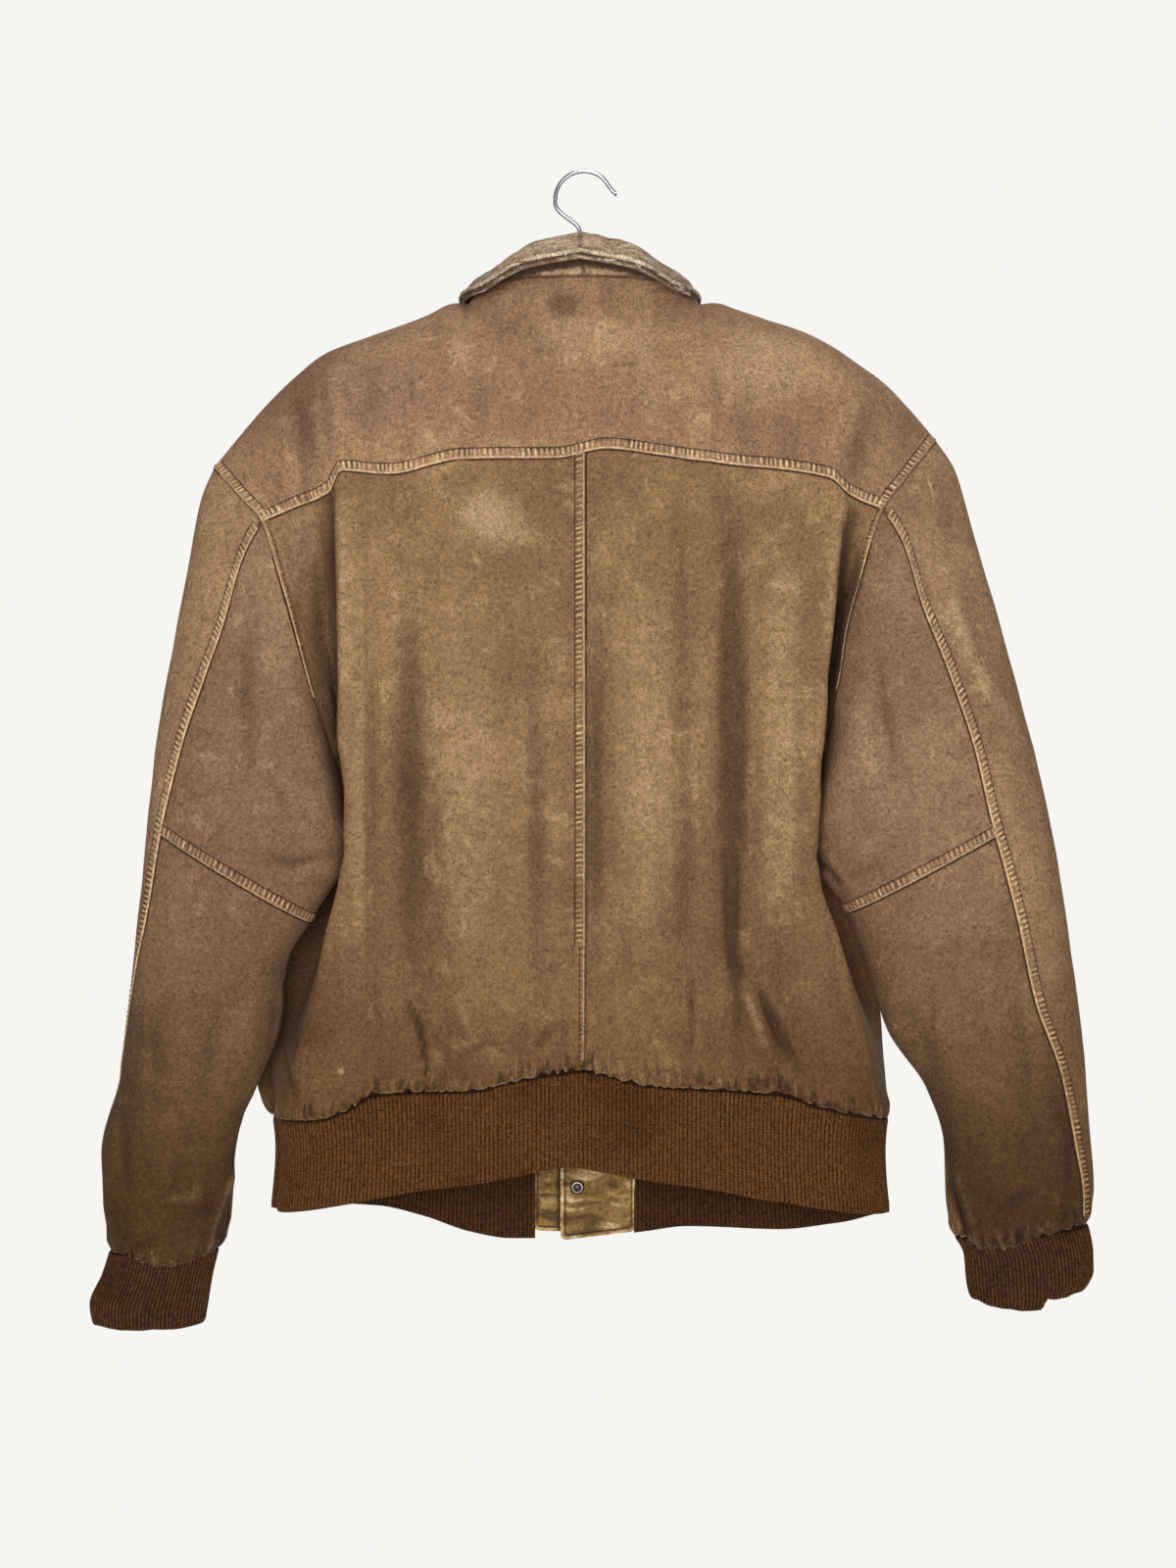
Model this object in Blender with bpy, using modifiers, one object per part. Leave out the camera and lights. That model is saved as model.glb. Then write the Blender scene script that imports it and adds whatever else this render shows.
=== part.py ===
"""Worn leather jacket, hanging closed on a plain wire hanger.

Metres, +Z up. The origin is the inside top of the hanger's hook, where a rod or peg bears.
The back of the jacket faces -Y and its front +Y, so +X is the wearer's right.
Every cloth panel is a grid of points on the garment's own surfaces (body, sleeve, collar), with a
wall inside it. Tables are in millimetres, and "down" is the distance below the origin.
"""
import math

import bpy
import numpy as np

MM = 0.001
LEFT, RIGHT = -1, 1
SIDE_NAMES = {LEFT: "left", RIGHT: "right"}

# ---------------------------------------------------------------- sizes
LEATHER = 1.4 * MM
KNIT = 2.6 * MM
COLLAR_LEATHER = 2.2 * MM
TAB_LEATHER = 2.6 * MM
SEAM_GAP = 0.3 * MM
ARMHOLE_GAP = 0.5 * MM

WIRE = 3.2 * MM

BACK_ARMHOLE_DEPTH = 50 * MM    # how far the armhole bows out behind the shoulder point
FRONT_ARMHOLE_DEPTH = 43 * MM
UNDERARM_Y = 2 * MM
ARM_SHARE = 0.45                # share of the back panel's rows that lie along the armhole
FRONT_ARM_SHARE = 0.5
NECK_SHARE = 0.4                # share of a shoulder's columns that lie along the neck
SIDE_SEAM_DOWN = 691 * MM       # where the side seams end at the waistband


def table(columns, rows):
    """A table with named columns: angles, shares and "along" stay as they are, the rest are millimetres."""
    names = columns.split()
    values = np.array(rows, dtype=float)
    plain = {"along", "angle", "turn", "inner_turn"}
    return {name: values[:, i] * (1 if name in plain else MM) for i, name in enumerate(names)}


# The edge of the body on each side: the armhole down to the underarm, then the side seam.
# fold_x is the crest of the long fold beside the armhole, tuck_x the bottom of the tuck behind it.
SIDES = {
    LEFT: table("down fold_x tuck_x edge_x", [
        (215, 182, 215, 271.4),
        (240, 179, 203, 248.4),
        (260, 177, 197, 230.8),
        (300, 177.5, 190, 217.3),
        (340, 177, 186, 206.5),
        (392, 176.5, 179, 193.4),
        (431, 174, 172, 186),
        (446, 171, 168, 179.5),
        (470, 168, 165, 182),
        (500, 168, 165, 200),
        (560, 183, 183, 217),
        (600, 191.5, 201, 226),
        (645, 206, 216, 227.5),
        (691, 216, 223, 226.5)]),
    RIGHT: table("down fold_x tuck_x edge_x", [
        (196, 190, 208, 257.8),
        (226, 187, 201, 232.9),
        (252, 185, 197, 213.4),
        (300, 182, 190, 197),
        (337, 179, 183, 187),
        (378, 174, 175, 182),
        (426, 168.5, 166, 180),
        (441, 166, 162, 174),
        (466, 165, 160, 177.5),
        (500, 164, 160, 196),
        (560, 180, 180, 212),
        (600, 191, 200, 219),
        (645, 205, 214, 222),
        (691, 214, 221, 224.5)]),
}
TIP_DOWN = {LEFT: 215.3 * MM, RIGHT: 195.9 * MM}         # shoulder point, top of the armhole
CORNER_DOWN = {LEFT: 259.8 * MM, RIGHT: 251.4 * MM}      # where the yoke seam meets the armhole
UNDERARM_DOWN = {LEFT: 431 * MM, RIGHT: 426 * MM}

# Depths of the back (negative, towards the viewer) and of the front, level by level.
DEPTHS = table("down centre_y fold_y tuck_y side_y front_y", [
    (196, -58, -57, -52, 0, 43),
    (256, -60, -59, -50, 0, 44.5),
    (300, -62, -60, -38, 0, 45),
    (340, -63, -60, -24, 0, 45.5),
    (390, -64, -59, -12, 0, 46),
    (428, -64, -58, 3, 2, 46),
    (444, -64, -57, 8, 14, 46),
    (468, -64, -57, 12, 21, 46),
    (500, -64, -56, 14, 25, 46),
    (560, -63, -53, 13, 25, 46),
    (600, -62, -49, 3, 21, 46),
    (645, -60, -40, -14, 12, 45),
    (691, -57, -28, -14, 4, 43)])

# Long soft flutes down the back: a trough is pushed in towards the body by its depth.
FLUTES = table("top_x bottom_x width top_depth bottom_depth", [
    (-133, -119, 20, 3, 9),
    (-152, -150, 8, 2, 4),
    (-3, -3, 12, 2, 5),
    (75, 74, 8, 2, 3),
    (106, 100, 17, 5, 9),
    (146, 142, 8, 0, 5),
    (-66, -70, 24, -3, -4),
    (44, 42, 20, -3, -4)])

YOKE_SEAM = table("x down", [
    (-231, 259.8), (-205, 250), (-181, 241), (-172, 226), (-139, 228), (-87, 218), (-20, 217),
    (15, 210.5), (52, 215), (114, 222), (175, 231), (188, 242), (213.4, 251.4)])
BACK_HEM = table("x down", [
    (-227, 691), (-195, 688), (-167, 679), (-150, 669), (-81, 665), (-49, 658), (0, 651.5),
    (40, 660), (88, 665), (137, 668), (171, 678), (225, 691)])
FRONT_HEM = table("x down", [
    (-227, 691), (-155, 700), (-86, 714), (0, 718), (86, 713), (155, 704), (225, 691)])
SHOULDER = {
    LEFT: table("x down", [
        (84, 91), (93, 94.5), (125, 108.8), (162, 121.7), (189, 132), (215, 151.2), (242, 179.3),
        (271.4, 215.3)]),
    RIGHT: table("x down", [
        (84, 90), (128, 106), (167, 121), (203, 143.3), (222, 157), (238, 173.6), (257.8, 195.9)]),
}
FRONT_BULGE = {LEFT: 15 * MM, RIGHT: 0}     # how far the front blouses out beside its side seam
FRONT_BULGE_DOWN = 668 * MM
SHOULDER_SEAM_FORWARD = 6 * MM  # the shoulder seam lies in front of the crest, and below it
SHOULDER_SEAM_DROP = 1.5 * MM

# Sections of the sleeve from the armhole to the wrist: outer and inner ends of each section, the
# middle's place in depth, half its thickness, and how far its faces bow towards the body.
SLEEVES = {
    LEFT: table("along out_x out_down in_x in_down centre_y half_depth bow", [
        (0.00, 271.4, 215.3, 186, 431, 1, 46, 16),
        (0.08, 280, 242, 183, 453, -8, 45, 13),
        (0.18, 288, 292, 178, 474, -17, 42, 8),
        (0.30, 296.5, 346, 173.5, 495, -27, 38, 4),
        (0.42, 305, 400, 177, 514, -32, 38, 1),
        (0.52, 314.5, 475, 197, 547, -33, 38, 0),
        (0.60, 320.5, 540, 212, 572, -32, 37, 0),
        (0.70, 327, 606, 229, 631, -28, 36, 0),
        (0.80, 334, 660, 242, 672, -24, 34, 0),
        (0.90, 350, 718, 254.5, 722, -18, 31, 0),
        (0.96, 350, 752, 257, 762, -14, 29, 0),
        (1.00, 344.5, 786, 266, 784.5, -12, 24, 0)]),
    RIGHT: table("along out_x out_down in_x in_down centre_y half_depth bow", [
        (0.00, 257.8, 195.9, 180, 426, 1, 46, 14),
        (0.08, 270, 218, 179, 444, -8, 45, 12),
        (0.18, 283, 269, 172.5, 469, -17, 42, 8),
        (0.30, 299.5, 330, 168, 491, -27, 38, 4),
        (0.42, 316.5, 398, 171, 513, -32, 38, 1),
        (0.52, 332.5, 462, 190, 540, -33, 38, 0),
        (0.60, 345, 527, 205, 579, -32, 37, 0),
        (0.70, 355.5, 595, 219, 626, -28, 36, 0),
        (0.80, 363, 650, 247, 669, -24, 34, 0),
        (0.90, 367.5, 706, 261, 709, -18, 31, 0),
        (0.96, 370.5, 743, 263.5, 752, -14, 29, 0),
        (1.00, 366, 767, 269.5, 776, -12, 25, 0)]),
}
# Where the sleeve's back seam and inner seam run, as turns round the section (0 outer, 1 inner).
SLEEVE_SEAMS = {
    LEFT: table("along turn inner_turn", [
        (0.18, 0.32, 1.05), (0.30, 0.295, 1.05), (0.42, 0.262, 1.05), (0.52, 0.225, 1.05),
        (0.60, 0.19, 1.04), (0.70, 0.09, 1.02), (0.80, 0.03, 1.0), (0.90, -0.03, 0.97),
        (1.00, -0.06, 0.93)]),
    RIGHT: table("along turn inner_turn", [
        (0.18, 0.365, 1.05), (0.30, 0.355, 1.05), (0.42, 0.345, 1.05), (0.52, 0.365, 1.05),
        (0.60, 0.355, 1.04), (0.70, 0.34, 1.02), (0.80, 0.295, 1.0), (0.90, 0.243, 0.96),
        (1.00, 0.18, 0.80)]),
}
ELBOW = 0.52

CUFFS = {
    LEFT: table("along out_x out_down in_x in_down centre_y half_depth", [
        (0.0, 344.5, 786.6, 266, 785.1, -12, 24),
        (0.35, 350.5, 806, 271, 806, -12, 24),
        (0.75, 359.5, 827, 275, 828, -12, 26),
        (1.0, 357.5, 840, 277, 840, -12, 26)]),
    RIGHT: table("along out_x out_down in_x in_down centre_y half_depth", [
        (0.0, 366, 767.6, 269.5, 776.6, -12, 25),
        (0.35, 370, 788, 278, 792, -12, 25),
        (0.75, 370.5, 804, 280, 815, -12, 26),
        (1.0, 366, 816, 282, 825, -12, 26)]),
}
CUFF_DIP = {LEFT: 1.5 * MM, RIGHT: 5.5 * MM}    # how much lower the cuff's middle hangs than its two ends

# Waistband, bottom edge: the back rises in the middle and the front hangs lower.
BAND_BACK_BOTTOM = table("x down", [
    (-228, 761), (-182, 751), (-114, 739), (-49, 728), (-16, 722), (31, 728), (105, 741),
    (171, 752), (229, 762)])
BAND_FRONT_BOTTOM = table("x down", [
    (-228, 761), (-155, 765), (-121, 773), (-86, 785), (-55, 790), (0, 790), (45, 785),
    (77, 781), (145, 783), (190, 777), (229, 762)])
BAND_PULLS_IN = 3 * MM          # the knit draws in a little below the leather
BAND_ENDS = {LEFT: 0.1634, RIGHT: 0.1674}   # where the knit ends beside the two tabs, as a share across
TABS = {                        # left and right edges, their lower corners, outer face
    "overlap": {"from_x": -38.5 * MM, "to_x": 18 * MM, "from_down": 785 * MM, "to_down": 790 * MM,
                "y": 45.3 * MM},
    "underlap": {"from_x": -17.8 * MM, "to_x": 39.1 * MM, "from_down": 792 * MM, "to_down": 785 * MM,
                 "y": 42.4 * MM},
}
TAB_TOP_DOWN = 718.5 * MM
SNAP_X, SNAP_DOWN = -5.2 * MM, 752 * MM
PLACKET_LEFT_X, PLACKET_RIGHT_X = -31 * MM, 23 * MM
PLACKET_SNAPS = 4
SNAP_RING_RADIUS, SNAP_RING_HEIGHT, SNAP_HOLE_RADIUS = 5.5 * MM, 1.4 * MM, 2.5 * MM
CAP_RADIUS, CAP_HEIGHT = 7 * MM, 2.4 * MM

# Collar sections by angle round the neck, 0 at the centre back.
COLLAR = table("angle neck_x neck_y neck_down top_x top_y top_down edge_x edge_y edge_down", [
    (0, 0, -46, 85.3, 0, -40, 57.5, 0, -86, 77),
    (25, 36, -43, 85.2, 33, -38, 64, 40, -78, 82),
    (50, 64, -32, 88, 58, -28, 76.5, 71, -56, 93.5),
    (75, 80, -13, 92.5, 75, -11, 85.5, 86, -25, 95),
    (100, 84, 6, 101, 79, 6, 93, 89, 11, 93),
    (125, 73, 25, 120, 69, 22, 107, 88, 47, 110),
    (150, 42, 37, 142, 40, 33, 121, 67, 64, 139),
    (180, 0, 41, 151, 3.5, 36, 127, 31, 66, 165)])
FALL_ROLL = table("angle height", [(0, 8), (50, 8), (75, 8.5), (100, 9), (125, 13), (150, 15), (180, 19)])
COLLAR_OFF_CENTRE = -3 * MM     # the collar sits a little towards the wearer's left

# Hanger wire, from the hook's tip to the end of its neck, in the plane y = 0.
HOOK_RADIUS = 19.5 * MM
HOOK_TIP = table("x down", [(24.8, 15.8), (22.6, 14.4), (19, 10.4)])
HOOK_STEM = table("x down", [(-18.3, 27.6), (-13.7, 31.7), (-6.3, 37.2), (-3.7, 40.6), (-3, 46), (-3, 60)])
HANGER_NECK_DOWN = 92 * MM
HANGER_REACH = 182 * MM
HANGER_BAR_DOWN = 176 * MM
HANGER_UNDER_SHOULDER = 6.0 * MM   # from the crest to the middle of the wire, square to it


# ---------------------------------------------------------------- curves
def smooth_through(xs, ys, x):
    """A smooth curve through the points that never swings past them (monotone cubic)."""
    step = np.diff(xs)
    slope = np.diff(ys) / step
    tangent = np.zeros(len(xs))
    tangent[0], tangent[-1] = slope[0], slope[-1]
    for i in range(1, len(xs) - 1):
        if slope[i - 1] * slope[i] > 0:
            tangent[i] = 2 * slope[i - 1] * slope[i] / (slope[i - 1] + slope[i])
    x = np.clip(x, xs[0], xs[-1])
    i = np.clip(np.searchsorted(xs, x, side="right") - 1, 0, len(xs) - 2)
    t = (x - xs[i]) / step[i]
    return (ys[i] * (1 + 2 * t) * (1 - t) ** 2 + step[i] * tangent[i] * t * (1 - t) ** 2
            + ys[i + 1] * t * t * (3 - 2 * t) + step[i] * tangent[i + 1] * t * t * (t - 1))


def read(rows, key, value, column):
    return smooth_through(rows[key], rows[column], value)


def ease(t):
    t = np.clip(t, 0, 1)
    return t * t * (3 - 2 * t)


def mix(a, b, t):
    return a + (b - a) * t


# ---------------------------------------------------------------- body surfaces
def armhole_down(side, turn):
    """Height of the armhole at a turn from its top (0) to the underarm (1)."""
    return mix(TIP_DOWN[side], UNDERARM_DOWN[side], (1 - np.cos(np.pi * turn)) / 2)


def corner_turn(side):
    share = (CORNER_DOWN[side] - TIP_DOWN[side]) / (UNDERARM_DOWN[side] - TIP_DOWN[side])
    return math.acos(1 - 2 * share) / math.pi


def armhole_point(side, turn):
    """Turn 0 is the shoulder point, 1 the underarm; 1 to 2 comes back up the front."""
    fold = np.minimum(turn, 2 - turn)
    down = armhole_down(side, fold)
    depth = np.where(turn <= 1, -BACK_ARMHOLE_DEPTH, FRONT_ARMHOLE_DEPTH)
    y = depth * np.sin(np.pi * fold) + UNDERARM_Y * fold
    return np.stack([side * read(SIDES[side], "down", down, "edge_x"), y, -down], axis=-1)


def edge_point(side, along, arm_share, start_turn, front):
    """The panel's edge: down the armhole, then down the side seam."""
    if along < arm_share:
        turn = mix(start_turn, 1.0, along / arm_share)
        return armhole_point(side, 2 - turn if front else turn)
    down = mix(UNDERARM_DOWN[side], SIDE_SEAM_DOWN, (along - arm_share) / (1 - arm_share))
    return np.array([side * read(SIDES[side], "down", down, "edge_x"),
                     read(DEPTHS, "down", down, "side_y"), -down])


def flute_depth(x, down):
    """How far the flutes push the back in at a point."""
    share = ease((down - YOKE_SEAM["down"].min()) / (BACK_HEM["down"].min() - YOKE_SEAM["down"].min()))
    total = 0
    for top_x, bottom_x, width, top, bottom in zip(*FLUTES.values()):
        centre = mix(top_x, bottom_x, share)
        total = total + mix(top, bottom, share) * np.exp(-((x - centre) / width) ** 2)
    return total


SECTION_KNOTS = np.array([0, 0.4, 0.66, 0.8, 0.9, 0.965, 1.0])
SIDE_ROUND = 5 * MM             # how round the body turns at its side seams


def near_edge(point, before, down, side, outward_y):
    """The last knot before a panel's edge: on the armhole it runs straight in, below it turns a round side."""
    straight = mix(before, point, 0.65)
    rounded = point + np.array([-0.25 * SIDE_ROUND, outward_y * SIDE_ROUND])
    return mix(straight, rounded, ease((down - UNDERARM_DOWN[side] + 20 * MM) / (30 * MM)))


def back_section(side, across, edge):
    """x and y of the back at the level of one edge point, from the centre (0) to that edge (1)."""
    down = -edge[2]
    fold_x = read(SIDES[side], "down", down, "fold_x")
    tuck_x = read(SIDES[side], "down", down, "tuck_x")
    centre_y, fold_y, tuck_y = (read(DEPTHS, "down", down, name) for name in ("centre_y", "fold_y", "tuck_y"))
    end = np.array([abs(edge[0]), edge[1]])
    turn_x, turn_y = near_edge(end, np.array([tuck_x, tuck_y]), down, side, -1)
    xs = np.array([0, 0.5 * fold_x, 0.86 * fold_x, fold_x, tuck_x, turn_x, end[0]])
    ys = np.array([centre_y, centre_y, mix(centre_y, fold_y, 0.25), fold_y, tuck_y, turn_y, end[1]])
    x = side * smooth_through(SECTION_KNOTS, xs, across)
    y = smooth_through(SECTION_KNOTS, ys, across)
    flat = 1 - ease((across - 0.66) / 0.14)
    return x, y + flat * flute_depth(x, down)


def back_row(side, across, along):
    """One row of the back panel: along 0 at the yoke seam, 1 at the waistband."""
    start = corner_turn(side)
    edges = [edge_point(side, a, ARM_SHARE, start, False) for a in (0.0, along, 1.0)]
    top_x, _ = back_section(side, across, edges[0])
    x, y = back_section(side, across, edges[1])
    bottom_x, _ = back_section(side, across, edges[2])
    share = (edges[1][2] - edges[0][2]) / (edges[2][2] - edges[0][2])
    down = mix(read(YOKE_SEAM, "x", top_x, "down"), read(BACK_HEM, "x", bottom_x, "down"), share)
    return np.stack([x, y, -down], axis=-1)


def neck_and_shoulder(side, across, front):
    """Top edge of yoke or front: round the neck to the shoulder, then out along the shoulder seam."""
    neck = np.clip(across / NECK_SHARE, 0, 1)
    angle = mix(180.0, 90.0, neck) if front else 90.0 * neck
    out = np.clip((across - NECK_SHARE) / (1 - NECK_SHARE), 0, 1)
    neck_x, neck_y, neck_down = (read(COLLAR, "angle", angle, n) for n in ("neck_x", "neck_y", "neck_down"))
    tip_x = SHOULDER[side]["x"][-1]
    x = np.where(out > 0, mix(neck_x, tip_x, out), neck_x)
    crest = read(SHOULDER[side], "x", x, "down")
    bump = np.sin(np.pi * out)
    y = np.where(out > 0, mix(neck_y, 0, ease(out * 4)) + SHOULDER_SEAM_FORWARD * bump, neck_y)
    down = np.where(out > 0, mix(neck_down, crest + SHOULDER_SEAM_DROP * bump, ease(out * 6)), neck_down)
    return np.stack([side * x, y, -down], axis=-1), bump


def yoke_row(side, across, along):
    """One row of the yoke: along 0 at the neck and shoulder seams, 1 at the yoke seam."""
    top, bump = neck_and_shoulder(side, across, False)
    bottom = back_row(side, across, 0.0)
    round_neck = 0.6 * ease((across - 0.1) / 0.3) * (1 - ease((across - NECK_SHARE) / 0.2))
    out = 1 - (1 - along) ** (1.6 + 1.4 * ease(across / NECK_SHARE))
    fall = along ** (1 + 0.9 * np.maximum(bump, round_neck))
    x = mix(top[:, 0], bottom[:, 0], along)
    y = mix(top[:, 1], bottom[:, 1], out)
    z = mix(top[:, 2], bottom[:, 2], fall) + 1.3 * SHOULDER_SEAM_DROP * bump * ease(along * 16) * (1 - along) ** 4
    row = np.stack([x, y, z], axis=-1)
    edge = armhole_point(side, corner_turn(side) * along)
    ends = mix(neck_and_shoulder(side, np.array([1.0]), False)[0][0], back_row(side, np.array([1.0]), 0.0)[0],
               np.array([along, 1 - (1 - along) ** 3, along]))
    return row + (edge - ends) * (across ** 8)[:, None]


def front_row(side, across, along):
    """One row of a front panel: along 0 at the neck and shoulder seams, 1 at the waistband."""
    top, _ = neck_and_shoulder(side, across, True)
    edges = [edge_point(side, a, FRONT_ARM_SHARE, 0.0, True) for a in (0.0, along, 1.0)]
    down = -edges[1][2]
    front_y = read(DEPTHS, "down", down, "front_y")
    end = np.array([abs(edges[1][0]), edges[1][1]])
    before = np.array([0.92 * end[0], mix(front_y, end[1], 0.45)])
    turn_x, turn_y = near_edge(end, before, down, side, 1)
    knots = np.array([0, 0.4, 0.75, 0.9, 0.965, 1.0])
    xs = np.array([0, 0.42 * end[0], 0.78 * end[0], before[0], turn_x, end[0]])
    ys = np.array([front_y, front_y, mix(front_y, end[1], 0.10), before[1], turn_y, end[1]])
    x = side * smooth_through(knots, xs, across)
    y = smooth_through(knots, ys, across)
    sideways, outward = 1 - ease(along / 0.3), max(0.0, 1 - along / 0.16) ** 3
    edge_in = across ** 8
    x = mix(x, top[:, 0], sideways) + edge_in * (edges[1][0] - mix(edges[1][0], edges[0][0], sideways))
    y = mix(y, top[:, 1], outward) + edge_in * (edges[1][1] - mix(edges[1][1], edges[0][1], outward))
    share = (edges[1][2] - edges[0][2]) / (edges[2][2] - edges[0][2])
    if FRONT_BULGE[side]:
        beside = np.sin(np.pi * np.clip((across - 0.88) / 0.12, 0, 1))
        x = x + side * FRONT_BULGE[side] * beside * math.exp(-((down - FRONT_BULGE_DOWN) / (26 * MM)) ** 2)
    hem = read(FRONT_HEM, "x", side * np.abs(mix(0, edges[2][0], across)), "down")
    z = mix(top[:, 2], -hem, share)
    return np.stack([x, y, z], axis=-1)


def closing_row(xs, along):
    """Points of the fronts at fixed distances from the middle."""
    row = both_halves(front_row, NECK_COLUMNS, [along])[0]
    return np.stack([xs] + [np.interp(xs, row[:, 0], row[:, i]) for i in (1, 2)], axis=-1)


# ---------------------------------------------------------------- sleeve, cuff and waistband surfaces
def tube_section(rows, side, along, turn, bowed=True):
    """Points round a section of a sleeve or cuff: turn 0 outer, 0.5 back, 1 inner, 1.5 front."""
    value = {name: read(rows, "along", along, name) for name in rows if name != "along"}
    outer = np.array([side * value["out_x"], 0, -value["out_down"]])
    inner = np.array([side * value["in_x"], 0, -value["in_down"]])
    angle = np.pi * turn
    middle, reach = (outer + inner) / 2, (outer - inner) / 2
    points = middle + np.cos(angle)[:, None] * reach
    points[:, 1] += value["centre_y"] - value["half_depth"] * np.sin(angle)
    if bowed:
        width = np.linalg.norm(reach)
        sideways = np.array([-side * abs(reach[2]), 0, abs(reach[0])]) / width
        points += (value["bow"] * np.sin(angle) ** 2)[:, None] * sideways
    return points


def sleeve_row(side, turn, along):
    """Sections of the sleeve; the first is the armhole itself, and the next few grow out of it."""
    row = tube_section(SLEEVES[side], side, along, turn)
    fade = max(0.0, 1 - along / 0.3) ** 2
    start = tube_section(SLEEVES[side], side, 0.0, turn)
    return row + (armhole_point(side, np.mod(turn, 2)) - start) * fade


def cuff_row(side, turn, along):
    row = tube_section(CUFFS[side], side, along, turn, bowed=False)
    row[:, 2] -= CUFF_DIP[side] * along * np.abs(np.sin(np.pi * turn))
    return row


def seam_turn(side, along, column):
    """Where a sleeve seam crosses the section at this place along the sleeve."""
    rows = SLEEVE_SEAMS[side]
    start = corner_turn(side) if column == "turn" else 1.0
    places = np.concatenate([[0.0], rows["along"]])
    return smooth_through(places, np.concatenate([[start], rows[column]]), along)


def band_point(side, front, across, drop):
    """A point of the waistband under the hem of the leather, at a share of its height."""
    row = front_row if front else back_row
    top = row(side, np.array([across]), 1.0)[0]
    bottom = read(BAND_FRONT_BOTTOM if front else BAND_BACK_BOTTOM, "x", top[0], "down")
    sideways = ease((across - 0.2) / 0.6)
    inward = BAND_PULLS_IN * math.sin(math.pi * drop ** 0.8)
    x = top[0] - side * sideways * inward
    y = top[1] * (1 - 0.06 * drop)
    return np.array([x, y, mix(top[2] - SEAM_GAP, -bottom, drop)])


# ---------------------------------------------------------------- collar surfaces
def collar_point(side, angle, name):
    x, y, down = (read(COLLAR, "angle", angle, f"{name}_{axis}") for axis in ("x", "y", "down"))
    lean = COLLAR_OFF_CENTRE * {"neck": 0.0, "top": 0.6, "edge": 1.0}[name]
    return np.stack([side * x + lean, y, -down], axis=-1)


def stand_row(side, angle, along):
    return mix(collar_point(side, angle, "neck") + [0, 0, 2 * SEAM_GAP], collar_point(side, angle, "top"), along)


def fall_row(side, angle, along):
    """The fall rolls over the top of the stand and flares out to its edge."""
    top = collar_point(side, angle, "top") + [0, 0, 2 * SEAM_GAP]
    edge = collar_point(side, angle, "edge")
    outward = (edge - top) * [1, 1, 0]
    up = np.array([0, 0, 1]) * read(FALL_ROLL, "angle", angle, "height")[:, None]
    top = top - outward / np.linalg.norm(outward, axis=-1, keepdims=True) * LEATHER
    first, second = top + up + 0.15 * outward, edge + up - 0.45 * outward
    t = along
    return ((1 - t) ** 3 * top + 3 * t * (1 - t) ** 2 * first + 3 * t * t * (1 - t) * second + t ** 3 * edge)


# ---------------------------------------------------------------- making objects
def material(name, colour, roughness, metallic=0.0):
    made = bpy.data.materials.new(name)
    made.use_nodes = True
    shader = made.node_tree.nodes["Principled BSDF"]
    shader.inputs["Base Color"].default_value = (*colour, 1)
    shader.inputs["Roughness"].default_value = roughness
    shader.inputs["Metallic"].default_value = metallic
    return made


def normals_of(grid, outside_from):
    """Unit normals of a grid of points, pointing away from outside_from."""
    normal = np.cross(np.gradient(grid, axis=0), np.gradient(grid, axis=1))
    normal /= np.linalg.norm(normal, axis=-1, keepdims=True)
    return normal if np.sum(normal * (grid - outside_from)) > 0 else -normal


class Panel:
    """One cut piece: a grid of points on the outer surface, and the direction of its wall at each."""

    def __init__(self, grid, outside_from):
        self.grid = grid
        self.normal = normals_of(grid, outside_from)
        self.gaps = {"top": SEAM_GAP / 2, "bottom": SEAM_GAP / 2, "first": SEAM_GAP / 2, "last": SEAM_GAP / 2}

    def pulled_in(self):
        """The grid with each border moved in along the surface, which leaves the gap at a seam."""
        grid = self.grid.copy()
        for name, line, inner in (("top", 0, 1), ("bottom", -1, -2)):
            step = grid[inner] - grid[line]
            grid[line] += step / np.linalg.norm(step, axis=-1, keepdims=True) * self.gaps[name]
        for name, line, inner in (("first", 0, 1), ("last", -1, -2)):
            step = grid[:, inner] - grid[:, line]
            grid[:, line] += step / np.linalg.norm(step, axis=-1, keepdims=True) * self.gaps[name]
        return grid


def share_seam(first, second):
    """Gives the walls on both sides of a seam one direction, so that they meet face to face.

    Each line is a view of some panel's normals. Where the cloth turns right back on itself, as
    under the arm, each side keeps its own direction.
    """
    facing = np.sum(first * second, axis=-1, keepdims=True)
    agree = ease((facing + 0.6) / 0.5)
    one, other = first + agree * second, second + agree * first
    first[:] = one / np.linalg.norm(one, axis=-1, keepdims=True)
    second[:] = other / np.linalg.norm(other, axis=-1, keepdims=True)


def level(normals):
    """Turns wall directions level, for an edge that stands on another piece."""
    normals[..., 2] = 0
    normals /= np.linalg.norm(normals, axis=-1, keepdims=True)


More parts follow.
